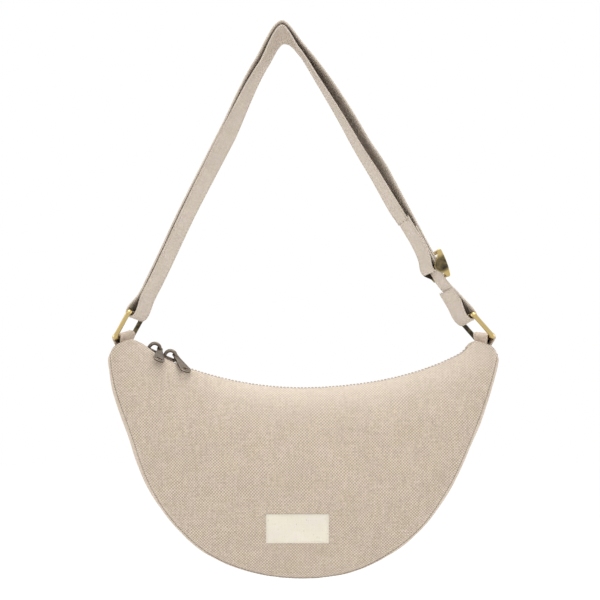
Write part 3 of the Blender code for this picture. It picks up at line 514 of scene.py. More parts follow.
bag = {
    "middle": 0.0166, "heart": -0.42, "zipRadius": 0.331, "zipDrop": 0.3432, "peakReach": 0.1665,
    "seamHalfWidth": 0.1852, "shoulderDrop": 0.3110, "bottomDrop": 0.5245, "endHalfDepth": 0.0188,
    "topHalfDepth": 0.0092, "seamHalfDepth": 0.030, "bulge": 0.016, "canvas": 0.0014,
    "leftShares": [(1.0, 0.0), (0.975, 0.138), (0.894, 0.358), (0.797, 0.579), (0.677, 0.736), (0.480, 0.890),
                   (0.27, 0.966)],
    "rightShares": [(1.0, 0.0), (0.952, 0.142), (0.870, 0.362), (0.759, 0.592), (0.594, 0.789), (0.440, 0.890),
                    (0.25, 0.968)],
    # the zip line hangs lower: all along it, and more on the right half
    "sagAll": 0.0009, "sag": 0.0040, "sagFrom": math.radians(3), "sagGrow": math.radians(24),
    "sagBack": math.radians(26.8), "sagEnd": math.radians(3.4),
    # how far the sewn cloth swells past the seam's line, from the left corner to the right
    "seamOut": [(-1, 0.0018), (-0.96, 0.0026), (-0.90, 0.0020), (-0.80, 0.0007), (-0.65, 0.0006), (-0.5, 0.0020),
                (-0.35, 0.0024), (-0.22, 0.0028), (-0.12, 0.0025), (0, 0.0017), (0.13, 0.0022), (0.24, 0.0024),
                (0.34, 0.0014), (0.5, 0.0004), (0.62, 0.0008), (0.72, 0.0022), (0.82, 0.0038), (0.9, 0.0044),
                (0.96, 0.0044), (1, 0.0030)],
    # how far the front panel's top stands over the zip line, by degrees along it
    "lip": [(-30.2, 0.0023), (-29.2, 0.0033), (-28.2, 0.0036), (-27.2, 0.0028), (-26.0, 0.0014), (-24.6, 0.0006),
            (-22, 0), (30.2, 0)],
    "backDip": 0.0009, "shoulder": 0.0048, "shoulderReach": 0.013, "cornerBow": 0.0042, "topRoll": 0.0017,
    "topRollReach": 0.006, "seamRoll": 0.0036, "seamRollReach": 0.0055, "panelGrid": (232, 104), "crowding": 0.045,
}
endAngle = math.asin(bag["peakReach"] / bag["zipRadius"])
# soft hollows and swellings of the filled cloth: place across and down the panel, reaches, height
softForms = [
    (-0.125, -0.345, 0.030, 0.016, -0.0011), (-0.085, -0.372, 0.045, 0.018, 0.0008),
    (0.085, -0.374, 0.034, 0.014, 0.0013), (0.118, -0.392, 0.030, 0.022, -0.0008),
    (0.000, -0.420, 0.012, 0.050, 0.0005), (-0.045, -0.440, 0.030, 0.050, -0.0005),
    (0.060, -0.470, 0.040, 0.030, 0.0006), (-0.090, -0.455, 0.028, 0.030, 0.0005),
    (0.045, -0.505, 0.040, 0.010, -0.0007), (0.150, -0.372, 0.012, 0.030, 0.0006),
]


def topSag(angle):
    # the right half hangs lower than the arc, and comes back to it at the corner
    right = blendStep((angle - bag["sagFrom"]) / bag["sagGrow"])
    right = right * (1 - blendStep((angle - bag["sagBack"]) / bag["sagEnd"]))
    return bag["sag"] * right + bag["sagAll"] * (1 - np.clip(np.abs(angle) / endAngle, 0, 1) ** 8)


def zipPoint(angle, depth=0.0):
    # the sagging top line: an arc, by the angle from straight down; depth goes into the bag
    angle = np.asarray(angle, float)
    reach = bag["zipRadius"] + topSag(angle) + depth
    x = bag["middle"] + np.sin(angle) * reach
    z = bag["zipRadius"] - bag["zipDrop"] - np.cos(angle) * reach
    return np.stack([x, np.zeros_like(x), z], -1)


def arcAxes(angle):
    # along the zip line and out of the bag
    return np.array([math.cos(angle), 0, math.sin(angle)]), np.array([-math.sin(angle), 0, math.cos(angle)])


def seamAway(path):
    centre = [bag["middle"], 0, bag["heart"]]
    return outwards(unit(np.cross(np.gradient(path, axis=0), backWay)), path, centre)


def seamCurve(count, inset=0.0):
    # the seam from the left corner round the bottom to the right corner, at equal steps
    half = bag["seamHalfWidth"] - inset
    fall = bag["bottomDrop"] - bag["shoulderDrop"] - inset
    left, right = ([(bag["middle"] + side * x * half, 0, -bag["shoulderDrop"] - z * fall) for x, z in bag[shares]]
                   for side, shares in ((-1, "leftShares"), (1, "rightShares")))
    bottom = (bag["middle"], 0, -bag["shoulderDrop"] - fall)
    path = evenly(smoothCurve([*left, bottom, *right[::-1]], 40)[0], count)
    # the sewn cloth swells a little past that line, most at the two corners
    swell = smoothed(np.interp(np.linspace(-1, 1, count + 1), *np.array(bag["seamOut"]).T), max(1, count // 9))
    return path + seamAway(path) * swell[:, None]


def topHalfDepth(u):
    return bag["topHalfDepth"] + (bag["endHalfDepth"] - bag["topHalfDepth"]) * u**16


def seamHalfDepth(u):
    return bag["endHalfDepth"] + (bag["seamHalfDepth"] - bag["endHalfDepth"]) * (1 - np.abs(u) ** 3)


def insidePanels(u):
    return topHalfDepth(u) - bag["canvas"] - gap


def cornerEnds(side):
    upper = zipPoint(side * endAngle)
    return upper, np.array([bag["middle"] + side * bag["seamHalfWidth"], 0, -bag["shoulderDrop"]])


def intoBag(side):
    upper, lower = cornerEnds(side)
    inside = unit(np.cross(lower - upper, backWay))
    return inside if inside[0] * side < 0 else -inside


def cornerSwell(share):
    return bag["cornerBow"] * np.sin(math.pi * np.clip(share, 0, 1) ** 1.35)


def cornerCurve(side, share):
    # the cut corner with its lower end rounded: the straight cut and a swelling outwards
    upper, lower = cornerEnds(side)[0], seamCurve(bag["panelGrid"][0])[-1 if side > 0 else 0]
    share = share[..., None]
    return upper + (lower - upper) * share - intoBag(side) * cornerSwell(share)


def panelSurface(side):
    # straight lines from the top arc (v = 0) down to the seam (v = 1), bowed out at the two cut corners.
    # Depth: a straight blend of the two edges' depths, a sine bulge, a roll at both edges, a bell-shaped
    # ridge under the top, a fuller shoulder, puckers that fade away from both edges, and soft forms
    columns, rows = bag["panelGrid"]
    u = np.linspace(-1, 1, columns + 1)[None, :]
    v = np.linspace(0, 1, rows + 1)[:, None]
    v = v - bag["crowding"] * np.sin(math.tau * v)  # closer rows along both edges
    sunk = bag["backDip"]
    if side < 0:
        sunk = -smoothed(np.interp(np.degrees(u[0] * endAngle), *np.array(bag["lip"]).T), 6)
    top, low = zipPoint(u[0] * endAngle, sunk)[None], seamCurve(columns)[None]
    flat = top + (low - top) * v[..., None]
    for end in (-1, 1):
        flat = flat - intoBag(end) * (np.clip(u * end, 0, 1) ** 10 * cornerSwell(v))[..., None]
    length = np.linalg.norm(low - top, axis=-1)
    down, up = v * length, (1 - v) * length
    depth = topHalfDepth(u) * (1 - v) + seamHalfDepth(u) * v
    depth = depth + bag["bulge"] * np.clip(np.sin(math.pi * v), 0, 1) ** 0.72 * np.clip(1 - u**2, 0, 1) ** 1.3
    depth = depth - bag["topRoll"] * near(down, bag["topRollReach"]) ** 2
    depth = depth + 0.0016 * bell(down, 0.011, 0.013) * (1 - u**8)
    # the shoulder is fuller on the side where the cloth is handled most
    handled = 0.45 + 0.55 * blendStep((u * -side + 0.7) / 0.5)
    shoulder = bag["shoulder"] * (1 - np.exp(-down / bag["shoulderReach"])) * (1 - v) ** 1.5
    depth = depth + shoulder * ((1 - u**4) * handled) - bag["seamRoll"] * near(up, bag["seamRollReach"]) ** 2
    pucker = ripple(alongOf(low[0])[None], 0.017, 1.3 + side) * np.exp(-up / 0.011) * 0.00045
    pucker = pucker + ripple(alongOf(top[0])[None], 0.023, 4.1 + side) * np.exp(-down / 0.012) * 0.00028
    depth = depth + pucker * (1 - near(np.minimum(down, up), 0.002))
    for cx, cz, rx, rz, height in softForms:
        depth = depth + height * bell(flat[..., 0] - bag["middle"], rx, -side * cx) * bell(flat[..., 2], rz, cz)
    points = flat.copy()
    points[..., 1] = side * depth
    # the cloth's own measure: across is x, down is z less what the curve adds to the length
    uv = np.stack([flat[..., 0], flat[..., 2] - (alongOf(points) - alongOf(flat))], -1)
    # painted shade in the seam; a painted highlight along the top, weaker towards one corner
    crease = 0.72 * bell(up, 0.0009) * (1 - 0.4 * np.clip(u, 0, 1) ** 4) + 0.12 * np.exp(-up / 0.004)
    return points, uv, crease, 0.42 * bell(down, 0.026) * handled


def makePanels():
    for word, side in frontBack:
        points, uv, crease, bleached = panelSurface(side)
        # with the masks of painted seam shade and of the painted highlight along the top
        clothPiece(f"{word}Panel", f"{word}_panel", points, uv, bag["canvas"], flip=side < 0,
                   crease=crease, bleached=bleached)


tab = {
    "width": 0.0330, "thick": 0.0016, "tail": 0.0035, "rise": 0.0008, "grip": math.radians(25),
    "slotShare": 0.60, "slotDepth": 0.0030, "play": 0.0009, "looseRise": 0.0080,
}
# the gusset and the zip's turned ends stop short of the tab's slot, each by a share of the cut corner
edging = {
    "count": 260, "past": 12, "inset": 0.0027, "bulge": 0.0042, "cornerBulge": 0.0032, "sunk": 0.0012,
    "endReach": 0.010, "share": 0.10,
}


def stripAlong(path, halves, bulges, columns, roll, rollReach):
    # a strip wide along Y that follows a path: each cross row bulges away from the bag, and rolls in at its edges
    middle = np.array([bag["middle"], 0, -(bag["zipDrop"] + bag["bottomDrop"]) / 2])
    normal = outwards(unit(np.cross(np.gradient(path, axis=0), backWay)), path, middle)
    b = np.linspace(-1, 1, columns + 1)[None, :]
    b = np.sign(b) * (1 - (1 - np.abs(b)) ** 1.5)
    edge = (1 - np.abs(b)) * halves[:, None]
    lift = bulges[:, None] * (1 - b**2) - roll * near(edge, rollReach) ** 2
    along = alongOf(path)[:, None]
    lift = lift + ripple(along, 0.019, 2.2) * 0.0004 * np.exp(-edge / 0.008) * (edge > 0.0004)
    lift = lift + ripple(along + b * 0.02, 0.060, 0.7) * 0.0004 * (1 - b**2)
    points = path[:, None, :] + normal[:, None, :] * lift[..., None]
    points[..., 1] = b * halves[:, None]
    return points, np.stack([points[..., 1], np.repeat(along, columns + 1, 1)], -1)


def softened(parts, step, times):
    # the parts of a path joined at equal steps, their corners rounded by averaging neighbours
    path = np.vstack(parts)
    return smoothed(evenly(path, int(alongOf(path)[-1] / step)), times)


def makeGusset():
    share = np.linspace(0.98, tab["slotShare"] + edging["share"], 6)
    ends = {side: cornerCurve(side, share) + intoBag(side) * edging["sunk"] for side in (-1, 1)}
    path = softened([ends[-1][::-1], seamCurve(edging["count"]), ends[1]], 0.0016, 5)
    past = edging["past"] / edging["count"]
    along = np.linspace(-1 - past, 1 + past, len(path))
    u = np.clip(along, -1, 1)
    halves = seamHalfDepth(u) - edging["inset"]
    # bulging all along, flatter at the bottom, fuller low on the left, and nothing at its ends
    bulges = edging["bulge"] + (edging["cornerBulge"] - edging["bulge"]) * np.abs(u) ** 12
    bulges = bulges - 0.0022 * bell(u, 0.24) + 0.0011 * bell(u, 0.18, -0.74)
    bulges = bulges * (1 - blendStep(np.clip(np.abs(along) - 1, 0, 1) / past * 1.4))
    points, uv = stripAlong(path, halves, bulges, 34, 0.0018, 0.006)
    # painted shade along both edges, in the seams' grooves
    crease = 0.5 * bell(halves[:, None] - np.abs(points[..., 1]), 0.0018)
    clothPiece("gussetCloth", "gusset", points, uv, bag["canvas"], crease=crease)


def makeZipEnds():
    # the turned cloth that closes each end of the zip and runs over the corner down to the tab
    for word, node, side in leftRight:
        angles = np.linspace(endAngle - edging["endReach"] / bag["zipRadius"], endAngle, 12, endpoint=False)
        down = cornerCurve(side, np.linspace(0.06, tab["slotShare"] - edging["share"], 12))
        path = softened([zipPoint(side * angles), down + intoBag(side) * edging["sunk"]], 0.001, 4)
        share = np.clip((np.abs(path[:, 0] - bag["middle"]) / bag["peakReach"]), 0, 1)
        points, uv = stripAlong(path, insidePanels(share) - gap, np.full(len(path), 0.0005), 14, 0.0004, 0.002)
        clothPiece(f"zipEnd{word}", f"zip_end_{node}", points, uv, bag["canvas"], flip=side > 0)


# Stitches: one short thread, copied along a line

def stitchRow(name, places, ways, normals, length, radius, material, body):
    # each stitch is a spindle of four rings of five points, laid along its way and sunk at both ends
    x = np.repeat(np.array([-0.5, -0.28, 0.28, 0.5]) * length, 5)
    sink = np.array([-0.75, 0.25, 0.25, -0.75]) * radius
    wide = np.array([0.35, 1.0, 1.0, 0.35])[:, None] * radius
    cos, sin = circle(5)
    y, z = (wide * cos).ravel(), (wide * sin + sink[:, None]).ravel()
    ways, normals = unit(ways), unit(normals)
    sides = np.cross(normals, ways)
    points = places[:, None] + ways[:, None] * x[None, :, None] + sides[:, None] * y[None, :, None]
    points = points + normals[:, None] * z[None, :, None]
    one = cappedFaces(4, 5)
    faces = [[k + first for k in face] for first in range(0, len(places) * 20, 20) for face in one]
    return dress(meshPiece(name, points.reshape(-1, 3), faces), material, body)


def pacedAlong(path, pitch, normals):
    # places at one pitch along a path, with the directions and the normals there
    places, normals = evenly(path, max(2, int(alongOf(path)[-1] / pitch)), normals)
    return places, np.gradient(places, axis=0), normals


def makeSeamThread():
    # the seam's own stitches, slanting in the groove between panel and gusset; their dark thread is partly painted
    # shade of the groove
    seam = seamCurve(edging["count"])
    u, away = np.linspace(-1, 1, len(seam)), seamAway(seam)
    for word, side in frontBack:
        line = seam - away * 0.0004
        line[:, 1] = side * (seamHalfDepth(u) - bag["seamRoll"] + 0.0006)
        places, ways, normals = pacedAlong(line, 0.0031, away + side * backWay * 0.8)
        slant = unit(ways) + side * 0.55 * backWay
        stitchRow(f"seamStitches_{word}", places, slant, normals, 0.0027, 0.00046, "seamThreadAndShade", "bag")


# The zip

zipper = {
    "chainHalf": 0.0048, "facing": 0.0010, "tape": 0.0006, "coil": 0.0012, "coilHalf": 0.0029, "slit": 0.0005,
    "stop": 0.0036, "endReach": 0.010, "toothPitch": 0.00135, "toothWire": 0.00036, "toothRise": 0.00042,
    "toothLean": 0.00030, "stitchInset": 0.0015,
}
zipReach = endAngle - (zipper["endReach"] + gap) / bag["zipRadius"]


def arcBand(side, angles, crossY, depth):
    # a profile (Y, depth into the bag) for each angle, carried along the zip line
    points = zipPoint(angles[:, None], depth + 0 * crossY)
    points[..., 1] = side * crossY
    return points, np.stack([crossY, angles[:, None] * bag["zipRadius"] + 0 * crossY], -1)


def makeFacings():
    # a folded canvas edge on each side of the zip, with one row of stitches
    for word, side in frontBack:
        angles = np.linspace(-zipReach, zipReach, 200)
        outer = insidePanels(angles / endAngle)[:, None] + 0.0003
        s = np.linspace(0, 1, 12)[None]
        lift = 0.0004 * np.sin(math.pi * np.clip(s * 1.15, 0, 1)) - 0.0006
        lift = lift + ripple(angles[:, None] * bag["zipRadius"], 0.021, 0.9 * side) * 0.0002 * s
        lift = lift - (bag["backDip"] * 0.8 * s if side > 0 else 0)
        points, uv = arcBand(side, angles, zipper["chainHalf"] + (outer - zipper["chainHalf"]) * s, -lift)
        clothPiece(f"zipFacing_{word}", f"zip_facing_{word}", points, uv, zipper["facing"], flip=side > 0)
        line = zipPoint(angles, -0.0001)
        line[:, 1] = side * (zipper["chainHalf"] + zipper["stitchInset"])
        out = zipPoint(np.zeros(1), -bag["zipRadius"]) - line
        out[:, 1] = 0
        stitchRow(f"zipStitches_{word}", *pacedAlong(line, 0.0034, out), 0.0026, 0.00032, "thread", "bag")


def makeTapes():
    for word, side in frontBack:
        angles = np.linspace(-zipReach, zipReach, 160)
        outer = insidePanels(angles / endAngle)[:, None]
        crossY = zipper["slit"] + (outer - zipper["slit"]) * np.linspace(0, 1, 10)[None]
        points, uv = arcBand(side, angles, crossY, gap * 2 + zipper["coil"])
        clothPiece(f"zipTape_{word}", f"zip_tape_{word}", points, uv, zipper["tape"], "zipTape", side > 0)


def makeCoils():
    # each tooth is a flattened loop across the row: a bent tube of nine rings of six points
    reach = zipReach - (zipper["stop"] + gap) / bag["zipRadius"]
    count = int(2 * reach * bag["zipRadius"] / zipper["toothPitch"])
    t = np.linspace(0, 1, 9)
    bend = np.pi * (t - 0.5) * 1.9
    rise = -np.cos(bend)
    crossY = zipper["slit"] + (zipper["coilHalf"] - zipper["slit"]) * (rise - rise.min()) / np.ptp(rise)
    cos, sin = circle(6)
    lean = (zipper["toothLean"] * np.sin(bend))[:, None] + zipper["toothWire"] * cos
    depth = gap + zipper["coil"] / 2 + zipper["toothRise"] * np.sin(t * math.tau)[:, None]
    depth = depth + zipper["toothWire"] * sin
    faces = (gridFaces(9, 6, closeColumns=True)[None] + (np.arange(count - 1) * 54)[:, None, None]).reshape(-1, 4)
    for (word, side), shift in zip(frontBack, (0.25, 0.75)):
        angle = -reach + (np.arange(count - 1) + shift) / count * 2 * reach
        points = zipPoint(angle[:, None, None] + lean / bag["zipRadius"], depth)
        points[..., 1] = side * crossY[:, None]
        coil = meshPiece(f"zipCoil_{word}", points.reshape(-1, 3), faces[:, ::-1] if side < 0 else faces)
        dress(coil, "coilNylon", "bag", f"zip_coil_{word}")


lining = {"thick": 0.0008, "inset": 0.0036, "topInset": 0.0120, "cornerInset": 0.018, "drop": 0.0030}


def makeLining():
    # the cloth bag inside: both panels' forms again, further in, joined round the bottom
    columns, rows = 90, 40
    u = np.linspace(-1, 1, columns + 1)[None, :]
    v = np.linspace(0, 1, rows + 1)[:, None]
    reach = math.asin((bag["peakReach"] - lining["topInset"]) / bag["zipRadius"])
    top, low = zipPoint(u[0] * reach, lining["drop"])[None], seamCurve(columns, lining["inset"])
    low[:, 0] -= lining["cornerInset"] * u[0] ** 5
    flat = top + (low[None] - top) * v[..., None]
    depth = topHalfDepth(u * reach / endAngle) * (1 - v) + seamHalfDepth(u) * v
    depth = depth + bag["bulge"] * np.sin(math.pi * v) * np.clip(1 - u**2, 0, 1) ** 1.3
    depth = depth - lining["inset"] * (1 + v / 3)
    depth = depth - 0.0012 * (1 + ripple(flat[..., 0], 0.05, 3.0)) * np.sin(math.pi * v)
    front, back = flat.copy(), flat.copy()
    front[..., 1], back[..., 1] = -depth, depth
    under = front[-1] + (back[-1] - front[-1]) * np.linspace(0, 1, 10)[1:-1, None, None]
    points = np.concatenate([front, under, back[::-1]])
    uv = np.stack([points[..., 0], alongOf(points)], -1)
    clothPiece("liningCloth", "lining", points, uv, lining["thick"], "liningCloth")


makeCamera()
makeWorld()
makeFloor()
makeLamps()
makePanels()
makeGusset()
makeZipEnds()
makeFacings()
makeTapes()
makeCoils()
makeLining()
makeSeamThread()
print("bag shell and zip done")


# Rings and tabs

ring = {
    "wire": 0.0044, "height": 0.0286, "innerWidth": 0.040, "corner": 0.0030, "tilt": math.radians(15.4),
    "leftLean": math.radians(28.7), "rightLean": math.radians(41.3), "barReach": 0.1786, "barDrop": 0.2974,
    "leftShift": 0.0022, "frontKnob": 0.2, "backKnob": 0.02,
}


def ringAxes(side):
    # up the ring, inward across it, and along its bars
    lean = ring["leftLean"] if side < 0 else ring["rightLean"]
    up = np.array([-side * math.sin(lean), 0, math.cos(lean)])
    inward = np.array([-side * math.cos(lean), 0, -math.sin(lean)])
    return up, inward, tilted(inward, ring["tilt"])


def tilted(inward, tilt):
    return backWay * math.cos(tilt) + unit(inward) * math.sin(tilt)


def lowBar(side):
    shift = ring["leftShift"] if side < 0 else 0
    return np.array([bag["middle"] + side * ring["barReach"] + shift, 0, -ring["barDrop"]])


def highBar(side):
    return lowBar(side) + ringAxes(side)[0] * ring["height"]


def makeRings():
    # a bent wire: four straight bars and four quarter turns, thicker at the turns, most at the front
    signs = ((1, 1), (-1, 1), (-1, -1), (1, -1))
    halfWide = (ring["innerWidth"] + ring["wire"]) / 2 - ring["corner"]
    halfHigh = ring["height"] / 2 - ring["corner"]
    for word, node, side in leftRight:
        up, inward, across = ringAxes(side)
        middle = (lowBar(side) + highBar(side)) / 2
        corners = [middle + across * a * halfWide + up * b * halfHigh for a, b in signs]
        path, swell = [], []
        for quarter, (a, _) in enumerate(signs):
            angle = np.linspace(0, math.pi / 2, 9) + quarter * math.pi / 2
            turn = ring["corner"] * (across * np.cos(angle)[:, None] + up * np.sin(angle)[:, None])
            leave, arrive = corners[quarter] + turn[-1], corners[(quarter + 1) % 4] + turn[-1]
            path += [corners[quarter] + turn, leave + (arrive - leave) * np.linspace(0, 1, 14)[1:-1, None]]
            knob = ring["frontKnob"] if a < 0 else ring["backKnob"]
            swell += [1.03 + knob * np.sin(np.linspace(0, math.pi, 9)), np.ones(12)]
        path, swell = np.vstack(path), np.concatenate(swell)
        heading = unit(np.roll(path, -1, 0) - np.roll(path, 1, 0))
        first = unit(np.cross(heading, inward))
        second = np.cross(heading, first)
        cos, sin = circle(20)
        offset = first[:, None] * cos[None, :, None] + second[:, None] * sin[None, :, None]
        points = path[:, None] + offset * (ring["wire"] / 2 * swell)[:, None, None]
        dress(gridPiece(f"ring{word}", points, flip=True, closed=True), "brass", f"ring_{node}", f"ring_{node}")


def bandSurface(path, across, width, thick, columns=26):
    # a flat band: a rounded profile carried along a path. Across it, both faces have a shallow groove
    # along the stitches and a slightly swollen folded edge
    side = unit(across)
    normal = unit(np.cross(np.gradient(path, axis=0), side))
    half, t = width / 2, thick / 2
    w = np.linspace(-1, 1, columns + 1)
    w = np.sign(w) * (1 - (1 - np.abs(w)) ** 1.35) * (half - t)
    fromEdge = half - np.abs(w)
    face = t * (1 + 0.10 * bell(fromEdge, 0.0011, 0.0016)) - 0.00012 * bell(fromEdge, 0.0006, 0.0030)
    bend = np.linspace(0, math.pi, 7)[1:-1]
    profileW = np.concatenate([w, half - t + t * np.sin(bend), w[::-1], -(half - t) - t * np.sin(bend)])
    profileT = np.concatenate([face, face[-1] * np.cos(bend), -face[::-1], -face[0] * np.cos(bend)])
    points = path[:, None] + side[:, None] * profileW[None, :, None] + normal[:, None] * profileT[None, :, None]
    around = alongOf(np.stack([profileW, profileT], -1))
    uv = np.stack([np.repeat(around[None], len(path), 0), np.repeat(alongOf(path)[:, None], len(around), 1)], -1)
    return points, uv, normal


def bandPiece(name, points, uv, material, body, node):
    # the band's surface with both ends closed
    faces = [face[::-1] for face in cappedFaces(*points.shape[:2])]
    dress(meshPiece(name, points.reshape(-1, 3), faces, uv.reshape(-1, 2)), material, body, node)


def makeTabs():
    # a folded cloth band: out of the corner, round the ring's lower bar and back in
    radius = ring["wire"] / 2 + tab["play"] + tab["thick"] / 2
    for word, node, side in leftRight:
        upper, lower = cornerEnds(side)
        along, inside = unit(lower - upper), intoBag(side)
        up, _, across = ringAxes(side)
        slot, bar = upper + (lower - upper) * tab["slotShare"] + inside * tab["slotDepth"], lowBar(side)
        out = unit(bar - slot)
        outer = unit(np.cross(out, backWay))
        outer = outer if outer @ along > 0 else -outer
        axis = backWay if np.cross(outer, -out) @ backWay < 0 else -backWay
        angles = np.linspace(-tab["grip"], math.pi + tab["grip"], 13)
        wrap = bar + turned(np.repeat((outer * radius)[None], 13, 0), axis, angles)
        tail, kink = slot + inside * tab["tail"], slot - inside * tab["rise"]
        half = along * (tab["thick"] + gap) / 2
        knots = np.vstack([tail + half, kink + half, wrap, kink - half, tail - half])
        widths = np.vstack([backWay, backWay, np.repeat(across[None], 13, 0), backWay, backWay])
        points, uv, _ = bandSurface(*bandCurve(knots, widths, 5), tab["width"], tab["thick"])
        # the loose loop stands higher towards the back
        far = np.clip((points[..., 1] / tab["width"] + 0.5), 0, 1)
        share = np.clip(np.sum((points - slot) * out, -1) / np.linalg.norm(bar - slot), 0, 1)
        points = points + up * (tab["looseRise"] * far**1.3 * blendStep(share))[..., None]
        bandPiece(f"tab{word}", points, uv, "canvas", "bag", f"tab_{node}")


makeRings()
makeTabs()
print("rings and tabs done")


# The strap

strap = {
    "width": 0.038, "thick": 0.0016, "loopRadius": 0.0043, "loopRest": (0.4, 0.9), "leftTilt": math.radians(17.5),
    "rightTilt": math.radians(11.5), "slideTilt": math.radians(16), "lowTilt": math.radians(11),
    "apexTilt": math.radians(24), "apexSideways": 0.2, "apexLift": 0.0042, "apexShift": 0.0011,
    "apexSpacing": 0.0042, "tightSpacing": 0.0026,
    "tailShares": (0.30, 0.55), "tailSpacing": (0.0027, 0.0040), "tailTilts": np.radians([18, 20]),
    "innerSpacing": (0.0026, 0.0062, 0.0080, 0.0085), "innerTilts": np.radians([1, 3, 6, 9]),
    "slideSpacing": (0.0081, 0.0063, 0.0051), "slideInnerTilts": np.radians([11, 14, 14]),
    "leftInnerTilts": np.radians([17.5, 17.5, 17.5, 21, 9.5]), "thinEnd": 0.014, "thinShare": 0.8,
    # each run's places: share of the way down from the top, and bow outwards as a share of its length
    "leftRun": [(0.129, 0.016), (0.37, 0.0095), (0.65, 0.002), (0.88, -0.0105), (0.938, -0.012)],
    "rightRun": [(0.132, 0.014), (0.353, 0.029), (0.60, 0.026), (0.82, 0.011)],
    # the straight stretch, along which the adjuster slides
    "slideReach": 0.0932, "slideDrop": 0.1322, "slideLean": math.radians(27.97), "slideLength": 0.119,
    "slideFull": 0.100, "steady": 0.006, "adjusterPlace": 0.1075, "innerStop": 0.053, "step": 0.0026,
    # the sewn-back end: its two legs, and its tilt in degrees by share of its length
    "endFold": 0.044, "endReach": 0.056,
    "endTilts": [(0, 16), (0.40, 16), (0.46, 15), (0.54, 15), (0.8, 14), (1, 14)],
    "stitchInset": 0.0030, "stitchPitch": 0.0033,
}
adjuster = {
    "length": 0.0238, "endRadius": 0.0020, "middleRadius": 0.0013, "rim": 0.0003, "topHeight": 0.0050,
    "lowHeight": 0.0018, "bow": 0.0066, "plate": 0.0022, "play": 0.0009, "bevel": 0.0006,
}
# from the middle of the outer layer back to the middle bar
adjuster["barDepth"] = 1.5 * strap["thick"] + 2 * gap + adjuster["middleRadius"]


def slideAxes():
    # down the straight stretch, out of the band's face, across the band, and inward
    lean = strap["slideLean"]
    down = np.array([math.sin(lean), 0, -math.cos(lean)])
    inward = np.array([-math.cos(lean), 0, -math.sin(lean)])
    across = tilted(inward, strap["slideTilt"])
    out = unit(np.cross(across, down))
    return down, -out if out @ inward > 0 else out, across, inward


def onSlide(distance):
    return np.array([strap["slideReach"], 0, -strap["slideDrop"]]) + slideAxes()[0] * distance


def runPoints(start, end, shares):
    # a run from start to end that bows to its upper side, with that side's direction
    normal = unit(np.cross(end - start, backWay))
    normal = normal if normal[2] > 0 else -normal
    length = np.linalg.norm(end - start)
    return [start + (end - start) * along + normal * bow * length for along, bow in shares], normal


def loopTurn(side):
    # half a turn round the ring's upper bar
    up, inward, across = ringAxes(side)
    rest = unit(up * strap["loopRest"][0] + inward * strap["loopRest"][1])
    centre = highBar(side) + rest * (strap["loopRadius"] - strap["thick"] / 2 - tab["play"] - ring["wire"] / 2)
    start = np.repeat((-inward * strap["loopRadius"])[None], 11, 0)
    return centre + turned(start, backWay * side, np.linspace(0, math.pi, 11)), across


def strapPath():
    # from the end sewn round the right ring, up the outer layer, round the left ring and back inside
    rightTurn, rightAcross = loopTurn(1)
    leftTurn, leftAcross = loopTurn(-1)
    _, _, slideAcross, slideIn = slideAxes()
    top = np.array([-strap["apexShift"], 0, strap["apexLift"]])
    leftRun, leftOut = runPoints(top, leftTurn[0], strap["leftRun"])
    rightRun, rightOut = runPoints(top, onSlide(0), strap["rightRun"])
    topWidth = tilted(rightWay * strap["apexSideways"] - upWay, strap["apexTilt"])
    length, steady = strap["slideLength"], strap["steady"]
    lower = onSlide(length)
    lowIn = unit(slideIn + ringAxes(1)[1])
    lowAcross = tilted(slideIn, strap["lowTilt"])
    knots = [(lower + (rightTurn[0] - lower) * share + lowIn * space, tilted(lowIn, tilt))
             for share, space, tilt in zip(strap["tailShares"], strap["tailSpacing"], strap["tailTilts"])]
    knots += [(p, rightAcross) for p in rightTurn[::-1]]
    knots += [((lower + rightTurn[0]) / 2, (lowAcross + rightAcross) / 2)]
    knots += [(onSlide(s), lowAcross) for s in (length, length - steady)]
    knots += [(onSlide(s), slideAcross) for s in (strap["slideFull"], steady, 0)]
    knots += [(p, tilted(-rightOut, strap["rightTilt"])) for p in rightRun[::-1]]
    knots += [(top, topWidth)]
    knots += [(p, tilted(-leftOut, strap["leftTilt"])) for p in leftRun]
    knots += [(p, leftAcross) for p in leftTurn]
    # the inner layer
    knots += [(p - leftOut * strap["tightSpacing"], tilted(-leftOut, tilt))
              for p, tilt in zip(leftRun[::-1], strap["leftInnerTilts"])]
    knots += [(top - upWay * strap["apexSpacing"], topWidth)]
    knots += [(p - rightOut * space, tilted(-rightOut, tilt))
              for p, space, tilt in zip(rightRun, strap["innerSpacing"], strap["innerTilts"])]
    stop = strap["adjusterPlace"] - strap["innerStop"]
    knots += [(onSlide(s) + slideIn * space, tilted(slideIn, tilt))
              for s, space, tilt in zip((0, stop - strap["thinEnd"], stop), strap["slideSpacing"],
                                        strap["slideInnerTilts"])]
    return bandCurve(*(np.array(column) for column in zip(*knots)), 40)


def bandStitches(name, path, across, body):
    # a row near each edge, on both faces
    pitch, side = strap["stitchPitch"], unit(across)
    normal = unit(np.cross(np.gradient(path, axis=0), side))
    reach, sunk = strap["width"] / 2 - strap["stitchInset"], strap["thick"] / 2 - 0.00006
    rows = [pacedAlong(path + side * edge * reach + normal * face * sunk, pitch, normal * face)
            for edge in (-1, 1) for face in (-1, 1)]
    stitchRow(name, *(np.vstack(column) for column in zip(*rows)), pitch * 0.74, 0.00034, "thread", body)


def makeStrap():
    path, across = strapPath()
    path, across = evenly(path, int(alongOf(path)[-1] / strap["step"]), across)
    points, uv, normal = bandSurface(path, across, strap["width"], strap["thick"])
    # the last stretch is pressed thin where it lies on the sewn-back end
    thin = strap["thinShare"] * near(alongOf(path)[-1] - alongOf(path), strap["thinEnd"])[:, None]
    off = np.sum((points - path[:, None]) * normal[:, None], -1)
    bandPiece("strapBand", points - normal[:, None] * (off * thin)[..., None], uv, "strapCanvas", "strap", "strap")
    bandStitches("strapStitches", path, across, "strap")


